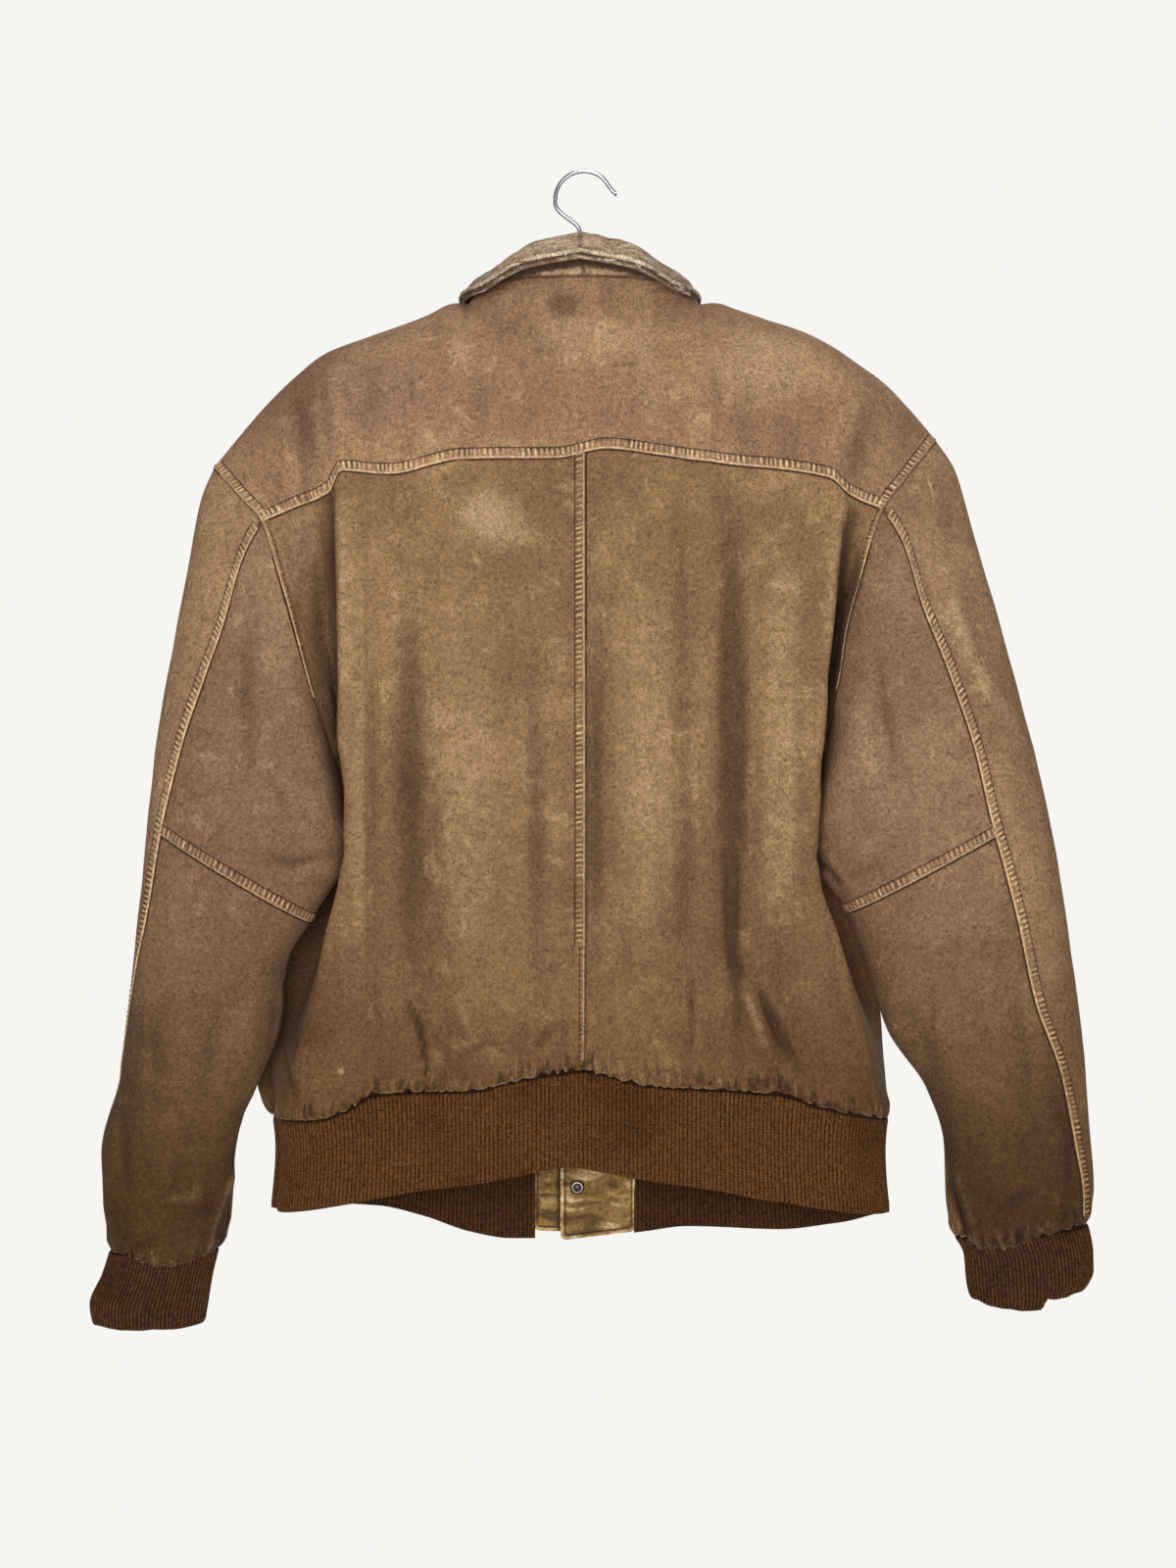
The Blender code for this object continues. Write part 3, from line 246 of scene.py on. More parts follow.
TAB_CORNER = 5 * MM             # radius of the tabs' lower corners
SNAP_X, SNAP_DOWN = -5.2 * MM, 752 * MM
PLACKET_LEFT_X, PLACKET_RIGHT_X = -31 * MM, 23 * MM
PLACKET_SNAPS = 4
SNAP_RING_RADIUS, SNAP_RING_HEIGHT, SNAP_HOLE_RADIUS = 5.5 * MM, 1.4 * MM, 2.5 * MM
CAP_RADIUS, CAP_HEIGHT = 7 * MM, 2.4 * MM

# Collar sections by angle round the neck, 0 at the centre back.
COLLAR = table("angle neck_x neck_y neck_down top_x top_y top_down edge_x edge_y edge_down", [
    (0, 0, -46, 85.3, 0, -40, 57.5, 0, -86, 77),
    (25, 36, -43, 85.2, 33, -38, 64, 40, -78, 83),
    (50, 64, -32, 88, 58, -28, 76.5, 71, -56, 94.5),
    (75, 80, -13, 92.5, 75, -11, 85.5, 86, -25, 95),
    (100, 84, 6, 101, 79, 6, 93, 89, 11, 93),
    (125, 73, 25, 120, 69, 22, 107, 88, 47, 110),
    (150, 42, 37, 142, 40, 33, 121, 67, 64, 139),
    (180, 0, 41, 151, 3.5, 36, 127, 31, 66, 165)])
FALL_ROLL = table("angle height", [     # how high the fall rolls over the top of the stand
    (0, 11), (25, 9.8), (50, 8.5), (75, 8.5), (100, 9), (125, 13), (150, 15), (180, 19)])
COLLAR_OFF_CENTRE = -3 * MM     # the collar sits a little towards the wearer's left

# Hanger wire, from the hook's tip to the end of its neck, in the plane y = 0.
HOOK_RADIUS = 19.5 * MM
HOOK_TIP = table("x down", [(24.8, 15.8), (22.6, 14.4), (19, 10.4)])
HOOK_STEM = table("x down", [(-18.3, 27.6), (-13.7, 31.7), (-6.3, 37.2), (-3.7, 40.6), (-3, 46), (-3, 60)])
HANGER_NECK_DOWN = 92 * MM
HANGER_REACH = 182 * MM
HANGER_BAR_DOWN = 176 * MM
HANGER_UNDER_SHOULDER = 6.0 * MM   # from the crest to the middle of the wire, square to it
HANGER_ARM_START = 20 * MM      # the arms run straight from here until they follow the shoulders
HANGER_ARM_SLOPE = 0.23
HANGER_NECK_GAP = 8 * MM        # from the arms' level up to the end of the stem
HANGER_END_RISE = 16 * MM       # how far the wire's end runs up beside the stem
HOOK_ARC = range(42, -103, -12)     # degrees round the hook from straight up, tip side first


# ---------------------------------------------------------------- curves
def smooth_through(xs, ys, x):
    """A smooth curve through the points that never swings past them (monotone cubic)."""
    step = np.diff(xs)
    slope = np.diff(ys) / step
    tangent = np.zeros(len(xs))
    tangent[0], tangent[-1] = slope[0], slope[-1]
    for i in range(1, len(xs) - 1):
        if slope[i - 1] * slope[i] > 0:
            tangent[i] = 2 * slope[i - 1] * slope[i] / (slope[i - 1] + slope[i])
    x = np.clip(x, xs[0], xs[-1])
    i = np.clip(np.searchsorted(xs, x, side="right") - 1, 0, len(xs) - 2)
    t = (x - xs[i]) / step[i]
    return (ys[i] * (1 + 2 * t) * (1 - t) ** 2 + step[i] * tangent[i] * t * (1 - t) ** 2
            + ys[i + 1] * t * t * (3 - 2 * t) + step[i] * tangent[i + 1] * t * t * (t - 1))


def read(rows, key, value, column):
    return smooth_through(rows[key], rows[column], value)


def ease(t):
    t = np.clip(t, 0, 1)
    return t * t * (3 - 2 * t)


def mix(a, b, t):
    return a + (b - a) * t


def lengths_along(line):
    """Distance of each point of a line from its first."""
    return np.concatenate([[0], np.cumsum(np.linalg.norm(np.diff(line, axis=0), axis=1))])


# ---------------------------------------------------------------- body surfaces
def armhole_down(side, turn):
    """Height of the armhole at a turn from its top (0) to the underarm (1)."""
    return mix(TIP_DOWN[side], UNDERARM_DOWN[side], (1 - np.cos(np.pi * turn)) / 2)


def corner_turn(side):
    share = (CORNER_DOWN[side] - TIP_DOWN[side]) / (UNDERARM_DOWN[side] - TIP_DOWN[side])
    return math.acos(1 - 2 * share) / math.pi


def armhole_point(side, turn):
    """Turn 0 is the shoulder point, 1 the underarm; 1 to 2 comes back up the front."""
    fold = np.minimum(turn, 2 - turn)
    down = armhole_down(side, fold)
    depth = np.where(turn <= 1, -BACK_ARMHOLE_DEPTH, FRONT_ARMHOLE_DEPTH)
    y = depth * np.sin(np.pi * fold) + UNDERARM_Y * fold
    return np.stack([side * read(SIDES[side], "down", down, "edge_x"), y, -down], axis=-1)


def edge_point(side, along, arm_share, start_turn, front):
    """The panel's edge: down the armhole, then down the side seam."""
    if along < arm_share:
        turn = mix(start_turn, 1.0, along / arm_share)
        return armhole_point(side, 2 - turn if front else turn)
    down = mix(UNDERARM_DOWN[side], SIDE_SEAM_DOWN, (along - arm_share) / (1 - arm_share))
    return np.array([side * read(SIDES[side], "down", down, "edge_x"),
                     read(DEPTHS, "down", down, "side_y"), -down])


def flute_depth(x, down):
    """How far the flutes push the back in at a point."""
    share = ease((down - YOKE_SEAM["down"].min()) / (BACK_HEM["down"].min() - YOKE_SEAM["down"].min()))
    total = 0
    for top_x, bottom_x, width, top, bottom in zip(*FLUTES.values()):
        centre = mix(top_x, bottom_x, share)
        total = total + mix(top, bottom, share) * np.exp(-((x - centre) / width) ** 2)
    return total


SECTION_KNOTS = np.array([0, 0.4, 0.66, 0.8, 0.9, 0.965, 1.0])
SIDE_ROUND = 5 * MM             # how round the body turns at its side seams


def near_edge(point, before, down, side, outward_y):
    """The last knot before a panel's edge: it runs straight in on the armhole, and turns round below it."""
    straight = mix(before, point, 0.65)
    rounded = point + np.array([-0.25 * SIDE_ROUND, outward_y * SIDE_ROUND])
    return mix(straight, rounded, ease((down - UNDERARM_DOWN[side] + 20 * MM) / (30 * MM)))


def back_section(side, across, edge):
    """x and y of the back at the level of one edge point, from the centre (0) to that edge (1)."""
    down = -edge[2]
    fold_x = read(SIDES[side], "down", down, "fold_x")
    tuck_x = read(SIDES[side], "down", down, "tuck_x")
    centre_y, fold_y, tuck_y = (read(DEPTHS, "down", down, name) for name in ("centre_y", "fold_y", "tuck_y"))
    end = np.array([abs(edge[0]), edge[1]])
    turn_x, turn_y = near_edge(end, np.array([tuck_x, tuck_y]), down, side, -1)
    xs = np.array([0, 0.5 * fold_x, 0.86 * fold_x, fold_x, tuck_x, turn_x, end[0]])
    ys = np.array([centre_y, centre_y, mix(centre_y, fold_y, 0.25), fold_y, tuck_y, turn_y, end[1]])
    x = side * smooth_through(SECTION_KNOTS, xs, across)
    y = smooth_through(SECTION_KNOTS, ys, across)
    flat = 1 - ease((across - 0.66) / 0.14)
    return x, y + flat * flute_depth(x, down)


def back_row(side, across, along):
    """One row of the back panel: along 0 at the yoke seam, 1 at the waistband."""
    start = corner_turn(side)
    edges = [edge_point(side, a, ARM_SHARE, start, False) for a in (0.0, along, 1.0)]
    top_x, _ = back_section(side, across, edges[0])
    x, y = back_section(side, across, edges[1])
    bottom_x, _ = back_section(side, across, edges[2])
    share = (edges[1][2] - edges[0][2]) / (edges[2][2] - edges[0][2])
    down = mix(read(YOKE_SEAM, "x", top_x, "down"), read(BACK_HEM, "x", bottom_x, "down"), share)
    return np.stack([x, y, -down], axis=-1)


def neck_and_shoulder(side, across, front):
    """Top edge of yoke or front: round the neck to the shoulder, then out along the shoulder seam."""
    neck = np.clip(across / NECK_SHARE, 0, 1)
    angle = mix(180.0, 90.0, neck) if front else 90.0 * neck
    out = np.clip((across - NECK_SHARE) / (1 - NECK_SHARE), 0, 1)
    neck_x, neck_y, neck_down = (read(COLLAR, "angle", angle, n) for n in ("neck_x", "neck_y", "neck_down"))
    tip_x = SHOULDER[side]["x"][-1]
    x = np.where(out > 0, mix(neck_x, tip_x, out), neck_x)
    crest = read(SHOULDER[side], "x", x, "down")
    bump = np.sin(np.pi * out)
    y = np.where(out > 0, mix(neck_y, 0, ease(out * 4)) + SHOULDER_SEAM_FORWARD * bump, neck_y)
    down = np.where(out > 0, mix(neck_down, crest + SHOULDER_SEAM_DROP * bump, ease(out * 6)), neck_down)
    return np.stack([side * x, y, -down], axis=-1), bump


def yoke_row(side, across, along):
    """One row of the yoke: along 0 at the neck and shoulder seams, 1 at the yoke seam."""
    top, bump = neck_and_shoulder(side, across, False)
    bottom = back_row(side, across, 0.0)
    round_neck = 0.6 * ease((across - 0.1) / 0.3) * (1 - ease((across - NECK_SHARE) / 0.2))
    out = 1 - (1 - along) ** (1.6 + 1.4 * ease(across / NECK_SHARE))
    fall = along ** (1 + 0.9 * np.maximum(bump, round_neck))
    x = mix(top[:, 0], bottom[:, 0], along)
    y = mix(top[:, 1], bottom[:, 1], out)
    rise = 1.3 * SHOULDER_SEAM_DROP * bump * ease(along * 16) * (1 - along) ** 4
    z = mix(top[:, 2], bottom[:, 2], fall) + rise
    row = np.stack([x, y, z], axis=-1)
    edge = armhole_point(side, corner_turn(side) * along)
    ends = mix(neck_and_shoulder(side, np.array([1.0]), False)[0][0], back_row(side, np.array([1.0]), 0.0)[0],
               np.array([along, 1 - (1 - along) ** 3, along]))
    return row + (edge - ends) * (across ** 8)[:, None]


def front_row(side, across, along):
    """One row of a front panel: along 0 at the neck and shoulder seams, 1 at the waistband."""
    top, _ = neck_and_shoulder(side, across, True)
    edges = [edge_point(side, a, FRONT_ARM_SHARE, 0.0, True) for a in (0.0, along, 1.0)]
    down = -edges[1][2]
    front_y = read(DEPTHS, "down", down, "front_y")
    end = np.array([abs(edges[1][0]), edges[1][1]])
    before = np.array([0.92 * end[0], mix(front_y, end[1], 0.45)])
    turn_x, turn_y = near_edge(end, before, down, side, 1)
    knots = np.array([0, 0.4, 0.75, 0.9, 0.965, 1.0])
    xs = np.array([0, 0.42 * end[0], 0.78 * end[0], before[0], turn_x, end[0]])
    ys = np.array([front_y, front_y, mix(front_y, end[1], 0.10), before[1], turn_y, end[1]])
    x = side * smooth_through(knots, xs, across)
    y = smooth_through(knots, ys, across)
    sideways, outward = 1 - ease(along / 0.3), max(0.0, 1 - along / 0.16) ** 3
    edge_in = across ** 8
    x = mix(x, top[:, 0], sideways) + edge_in * (edges[1][0] - mix(edges[1][0], edges[0][0], sideways))
    y = mix(y, top[:, 1], outward) + edge_in * (edges[1][1] - mix(edges[1][1], edges[0][1], outward))
    share = (edges[1][2] - edges[0][2]) / (edges[2][2] - edges[0][2])
    if FRONT_BULGE[side]:
        beside = np.sin(np.pi * np.clip((across - 0.88) / 0.12, 0, 1))
        x = x + side * FRONT_BULGE[side] * beside * math.exp(-((down - FRONT_BULGE_DOWN) / (26 * MM)) ** 2)
    hem = read(FRONT_HEM, "x", side * np.abs(mix(0, edges[2][0], across)), "down")
    z = mix(top[:, 2], -hem, share)
    return np.stack([x, y, z], axis=-1)


def closing_row(xs, along):
    """Points of the fronts at fixed distances from the middle."""
    row = both_halves(front_row, NECK_COLUMNS, [along])[0]
    return np.stack([xs] + [np.interp(xs, row[:, 0], row[:, i]) for i in (1, 2)], axis=-1)


# ---------------------------------------------------------------- sleeve, cuff and waistband surfaces
def tube_section(rows, side, along, turn, bowed=True):
    """Points round a section of a sleeve or cuff: turn 0 outer, 0.5 back, 1 inner, 1.5 front."""
    value = {name: read(rows, "along", along, name) for name in rows if name != "along"}
    outer = np.array([side * value["out_x"], 0, -value["out_down"]])
    inner = np.array([side * value["in_x"], 0, -value["in_down"]])
    angle = np.pi * turn
    middle, reach = (outer + inner) / 2, (outer - inner) / 2
    points = middle + np.cos(angle)[:, None] * reach
    points[:, 1] += value["centre_y"] - value["half_depth"] * np.sin(angle)
    if bowed:
        width = np.linalg.norm(reach)
        sideways = np.array([-side * abs(reach[2]), 0, abs(reach[0])]) / width
        points += (value["bow"] * np.sin(angle) ** 2)[:, None] * sideways
    return points


def sleeve_row(side, turn, along):
    """Sections of the sleeve; the first is the armhole itself, and the next few grow out of it."""
    row = tube_section(SLEEVES[side], side, along, turn)
    fade = max(0.0, 1 - along / 0.3) ** 2
    start = tube_section(SLEEVES[side], side, 0.0, turn)
    return row + (armhole_point(side, np.mod(turn, 2)) - start) * fade


def cuff_row(side, turn, along):
    """Sections of the cuff, whose middle hangs a little lower than its two ends."""
    row = tube_section(CUFFS[side], side, along, turn, bowed=False)
    row[:, 2] -= CUFF_DIP[side] * along * np.abs(np.sin(np.pi * turn))
    return row


def seam_turn(side, along, column):
    """Where a sleeve seam crosses the section at this place along the sleeve."""
    rows = SLEEVE_SEAMS[side]
    start = corner_turn(side) if column == "turn" else 1.0
    places = np.concatenate([[0.0], rows["along"]])
    return smooth_through(places, np.concatenate([[start], rows[column]]), along)


def band_point(side, front, across, drop):
    """A point of the waistband under the hem of the leather, at a share of its height."""
    row = front_row if front else back_row
    top = row(side, np.array([across]), 1.0)[0]
    bottom = read(BAND_FRONT_BOTTOM if front else BAND_BACK_BOTTOM, "x", top[0], "down")
    sideways = ease((across - 0.2) / 0.6)
    inward = BAND_PULLS_IN * math.sin(math.pi * drop ** 0.8)
    x = top[0] - side * sideways * inward
    y = top[1] * (1 - 0.06 * drop)
    return np.array([x, y, mix(top[2] - SEAM_GAP, -bottom, drop)])


# ---------------------------------------------------------------- collar surfaces
def collar_point(side, angle, name):
    """A point of the collar's neck seam, of the stand's top or of the fall's edge."""
    x, y, down = (read(COLLAR, "angle", angle, f"{name}_{axis}") for axis in ("x", "y", "down"))
    lean = COLLAR_OFF_CENTRE * {"neck": 0.0, "top": 0.6, "edge": 1.0}[name]
    return np.stack([side * x + lean, y, -down], axis=-1)


def stand_row(side, angle, along):
    """One row of the stand: along 0 at the neck seam, 1 at its top."""
    neck = collar_point(side, angle, "neck") + [0, 0, 2 * SEAM_GAP]
    return mix(neck, collar_point(side, angle, "top"), along)


def fall_row(side, angle, along):
    """The fall rolls over the top of the stand and flares out to its edge."""
    top = collar_point(side, angle, "top") + [0, 0, 2 * SEAM_GAP]
    edge = collar_point(side, angle, "edge")
    outward = (edge - top) * [1, 1, 0]
    up = np.array([0, 0, 1]) * read(FALL_ROLL, "angle", angle, "height")[:, None]
    top = top - outward / np.linalg.norm(outward, axis=-1, keepdims=True) * LEATHER
    first, second = top + up + 0.15 * outward, edge + up - 0.45 * outward
    t = along
    return (1 - t) ** 3 * top + 3 * t * (1 - t) ** 2 * first + 3 * t * t * (1 - t) * second + t ** 3 * edge


# ---------------------------------------------------------------- creases and soft noise
# Soft troughs across the back, in the plane seen from behind: width and depth (a ridge is negative),
# then the points that each runs through, x and down.
BACK_CREASES = (
    (3.2, 3.0, (-180.5, 232), (-178.5, 300), (-178, 370), (-178, 425)),
    (12, 2.4, (-192, 250), (-188, 330), (-184, 395)),
    (5, -1.0, (-171, 234), (-171, 320), (-170.5, 420)),
    (3.2, 2.8, (188, 246), (184, 300), (180, 345), (176, 390)),
    (10, 2.2, (197, 262), (190, 320), (184, 372)),
    (5, -1.4, (178, 240), (174, 320), (168, 400)),
    (3.6, 2.0, (-151, 236), (-150, 400), (-149.5, 560), (-149, 655)),
    (9, -1.2, (-163, 260), (-162, 440), (-160, 560), (-159, 640)),
    (13, 2.4, (-122, 258), (-124, 420), (-121, 540), (-118, 610)),
    (3.2, 3.4, (-128, 596), (-117.5, 622), (-114.5, 640), (-113, 664)),
    (4, -1.2, (-91, 596), (-74, 641)),
    (26, -1.8, (-80, 300), (-76, 460), (-78, 600)),
    (8, 1.7, (-38, 330), (-34, 450), (-33, 560), (-30, 625)),
    (3.5, 1.8, (-13.7, 612), (-11, 652)),
    (6, 1.5, (-15.8, 617), (-37, 637)),
    (8, 1.7, (9, 250), (8, 420), (8, 560), (10, 645)),
    (20, -1.8, (44, 270), (43, 430), (42, 600)),
    (7, 1.8, (74, 250), (73, 400), (75, 540), (76, 640)),
    (2.6, 1.8, (77.7, 583), (76.5, 612), (78, 642)),
    (11, 3.2, (104, 245), (105, 400), (105, 510), (104, 580)),
    (5, 2.8, (103, 500), (104.5, 560), (108, 607), (105, 650)),
    (13, -2.2, (143, 262), (142, 430), (139, 585)),
    (5, 3.2, (113, 578), (127, 602), (136.6, 620), (146.3, 643), (154, 656)),
    (5, -1.5, (115, 594), (123, 614), (128, 642)),
    (3, 0.7, (146, 585), (143.6, 612)),
    (5, 1.2, (170, 500), (175, 560), (192, 640)),
    (2.2, 1.0, (-25, 205), (-10, 201.5), (4, 206)),
    (13, 2.2, (-208, 158), (-197, 200), (-186, 240)),
    (10, 1.5, (-150, 150), (-158, 190), (-160, 222)),
    (11, 1.8, (206, 176), (196, 210), (186, 242)),
    (11, 1.3, (118, 150), (112, 185), (110, 216)),
    (14, -1.0, (40, 110), (44, 160), (46, 205)),
    (12, 1.2, (-70, 130), (-74, 170), (-70, 212)),
    (3, 0.9, (-277.8, 408), (-248, 420)),
    (3, 0.9, (-289.5, 459), (-263.9, 456)),
    (9, 1.6, (-236, 300), (-240, 380), (-232, 460)),
    (6, 2.2, (-172, 496), (-205, 505), (-236, 496)),
    (5, 1.6, (-182, 521), (-212, 519)),
    (5, 1.4, (-204, 470), (-222, 440)),
    (8, -1.8, (246, 225), (253, 281), (273, 358), (290.5, 387), (318, 425)),
    (7, 1.5, (205, 330), (214, 400), (222, 452)),
    (9, -1.4, (194, 380), (203, 440), (206, 490)),
    (3.5, 1.4, (226, 420), (232, 455), (236, 480)),
    (3, 2.4, (165, 500), (176, 511), (184, 526)),
    (5, 1.6, (176, 520), (196, 512), (214, 500)),
    (3, 0.8, (199, 538), (229, 560)),
    (9, 1.4, (220, 570), (246, 640), (262, 700)),
    (10, 1.5, (-232, 560), (-262, 620), (-276, 690)),
    (7, 1.2, (-300, 560), (-306, 630), (-304, 700)),
    (8, 1.3, (300, 560), (312, 640), (318, 700)),
    (4, 2.2, (-334, 782), (-314.5, 774), (-298, 771)),
    (7, 2.0, (-331, 664), (-329, 700), (-326, 748)),
    (5, 1.3, (-264, 715), (-271, 770)),
    (6, 1.8, (-309, 752), (-282, 759), (-262, 748)),
    (5, 1.5, (-320, 730), (-300, 738), (-282, 730)),
    (5, 1.5, (341, 668), (348, 712), (350, 752)),
    (6, 1.8, (330, 735), (300, 752), (280, 744)),
    (5, 1.5, (352, 748), (346, 762), (349, 770)),
    (4, 2.4, (-222, 640), (-214, 660), (-206, 682)),
    (15, -6.0, (180, 395), (176, 450), (170, 505)),
    (15, -5.5, (-187, 405), (-183, 455), (-177, 505)),
    (16, -6.0, (-240, 590), (-238, 640), (-238, 690)),
    (1.8, -1.3, (-246, 700), (-256, 735), (-264.5, 758), (-273, 786)),
    (2.2, 1.5, (-241, 705), (-251, 738), (-259, 760), (-268, 784)),
    (3, -1.2, (261, 712), (269, 737), (284, 776)),
    (5, 2.6, (256, 705), (263.5, 737), (277, 774)),
)
FRONT_CREASES = (                # the same for the front, x and down as seen from behind
    (14, -8.0, (-221, 590), (-227, 630), (-229, 665)),
    (15, -6.0, (180, 395), (176, 450), (170, 505)),
    (15, -5.5, (-187, 405), (-183, 455), (-177, 505)),
    (9, 3.0, (-110, 560), (-118, 620), (-112, 712)),
    (7, 2.6, (-62, 620), (-58, 712)),
    (9, 3.2, (95, 540), (104, 620), (98, 712)),
    (6, 2.4, (60, 640), (66, 712)),
    (10, 2.6, (-150, 300), (-142, 380), (-150, 460)),
    (10, 2.6, (148, 290), (140, 380), (149, 450)),
    (12, 1.8, (-88, 260), (-84, 400), (-90, 520)),
    (12, 1.8, (84, 250), (88, 380), (82, 510)),
    (6, 1.8, (-176, 500), (-215, 508), (-250, 494)),
    (6, 1.8, (172, 500), (212, 512), (252, 500)),
    (5, 1.5, (-200, 540), (-240, 548)),
    (5, 1.5, (198, 545), (240, 556)),
    (8, 1.6, (-240, 300), (-236, 380), (-244, 450)),
    (8, 1.6, (232, 300), (240, 390), (246, 460)),
    (6, 1.6, (-330, 700), (-324, 766)),
    (6, 1.6, (350, 690), (345, 750)),
    (6, 1.6, (-300, 742), (-280, 750), (-264, 742)),
    (6, 1.6, (330, 728), (304, 742), (284, 734)),
)
BROAD_FOLDS = 0.9 * MM          # heights of the uneven surface, from broad to narrow
NARROW_FOLDS = 0.35 * MM


LATTICE = 64                    # cells along each side of the block of random values that repeats in space


def lattice(seed):
    return np.random.default_rng(seed).uniform(-1, 1, (LATTICE, LATTICE, LATTICE))


def soft_noise(points, lengths, seed):
    """Smooth noise between -1 and 1 whose bumps are about as long as the three lengths."""
    values = lattice(seed)
    place = points / np.asarray(lengths) + 31.7
    cell = np.floor(place).astype(int)
    part = ease(place - cell)
    total = 0
    for corner in range(8):
        step = np.array([corner & 1, corner >> 1 & 1, corner >> 2 & 1])
        weight = np.prod(np.where(step, part, 1 - part), axis=-1)
        total = total + weight * values[tuple(np.moveaxis((cell + step) % LATTICE, -1, 0))]
    return total


def trough(x, down, width, path):
    """How strongly one crease shows at each point: a trough of 1 with a low ridge along each side."""
    width = width * MM
    path = np.array(path) * MM
    lengths = np.linalg.norm(np.diff(path, axis=0), axis=1)
    starts = np.concatenate([[0], np.cumsum(lengths)])
    nearest, share = np.full(x.shape, np.inf), np.zeros(x.shape)
    for start, end, length, before in zip(path, path[1:], lengths, starts):
        t = ((x - start[0]) * (end[0] - start[0]) + (down - start[1]) * (end[1] - start[1])) / length ** 2
        t = np.clip(t, 0, 1)
        gap = np.hypot(x - mix(start[0], end[0], t), down - mix(start[1], end[1], t))
        closer = gap < nearest
        nearest = np.where(closer, gap, nearest)
        share = np.where(closer, (before + t * length) / starts[-1], share)
    fade = np.sin(np.pi * np.clip(share, 0.04, 0.96)) ** 0.6
    return fade * (np.exp(-(nearest / width) ** 2) - 0.3 * np.exp(-((nearest - 1.9 * width) / width) ** 2))


def creases(points, normals):
    """Depth of all the creases at each point, and the part of it that is painted: as shade in the troughs and
    pale on the ridges, not the full bulges.
    """
    x, down = points[..., 0], -points[..., 2]
    total, shown = np.zeros(x.shape), np.zeros(x.shape)
    for rows, facing in ((BACK_CREASES, -1), (FRONT_CREASES, 1)):
        faces = ease(0.5 + 1.6 * facing * normals[..., 1])
        for width, depth, *path in rows:
            one = depth * MM * faces * trough(x, down, width, path)
            total += one
            shown += one * (depth > -5)
    return total, shown


def uneven(points):
    """The soft unevenness of worn leather, longer down the garment than across it."""
    return (BROAD_FOLDS * soft_noise(points, (0.034, 0.05, 0.085), 1)
            + NARROW_FOLDS * soft_noise(points, (0.013, 0.02, 0.024), 2))


# ---------------------------------------------------------------- panels
def normals_of(grid, outside_from):
    """Unit normals of a grid of points, pointing away from outside_from."""
    normal = np.cross(np.gradient(grid, axis=0), np.gradient(grid, axis=1))
    normal /= np.maximum(np.linalg.norm(normal, axis=-1, keepdims=True), 1e-12)
    return normal if np.sum(normal * (grid - outside_from)) > 0 else -normal


def winds_outwards(grid, normal):
    """Whether the quads of a grid face the way its surface does."""
    return np.dot(np.cross(grid[0, 1] - grid[0, 0], grid[1, 0] - grid[0, 0]), normal[0, 0]) > 0


def share_seam(first, second):
    """Gives the walls on both sides of a seam one direction, so that they meet face to face."""
    facing = np.sum(first * second, axis=-1, keepdims=True)
    agree = ease((facing + 0.6) / 0.5)
    one, other = first + agree * second, second + agree * first
    first[:] = one / np.linalg.norm(one, axis=-1, keepdims=True)
    second[:] = other / np.linalg.norm(other, axis=-1, keepdims=True)


BORDERS = ("top", "bottom", "first", "last")


def from_border(grid, border):
    """The grid turned so that the named border is its first row."""
    if border in ("first", "last"):
        grid = np.swapaxes(grid, 0, 1)
    return grid[::-1] if border in ("bottom", "last") else grid


def lengths_down(grid):
    """Distance of each point from the first row, measured along its column."""
    steps = np.linalg.norm(np.diff(grid, axis=0), axis=-1)
    return np.concatenate([np.zeros((1, grid.shape[1])), np.cumsum(steps, axis=0)])


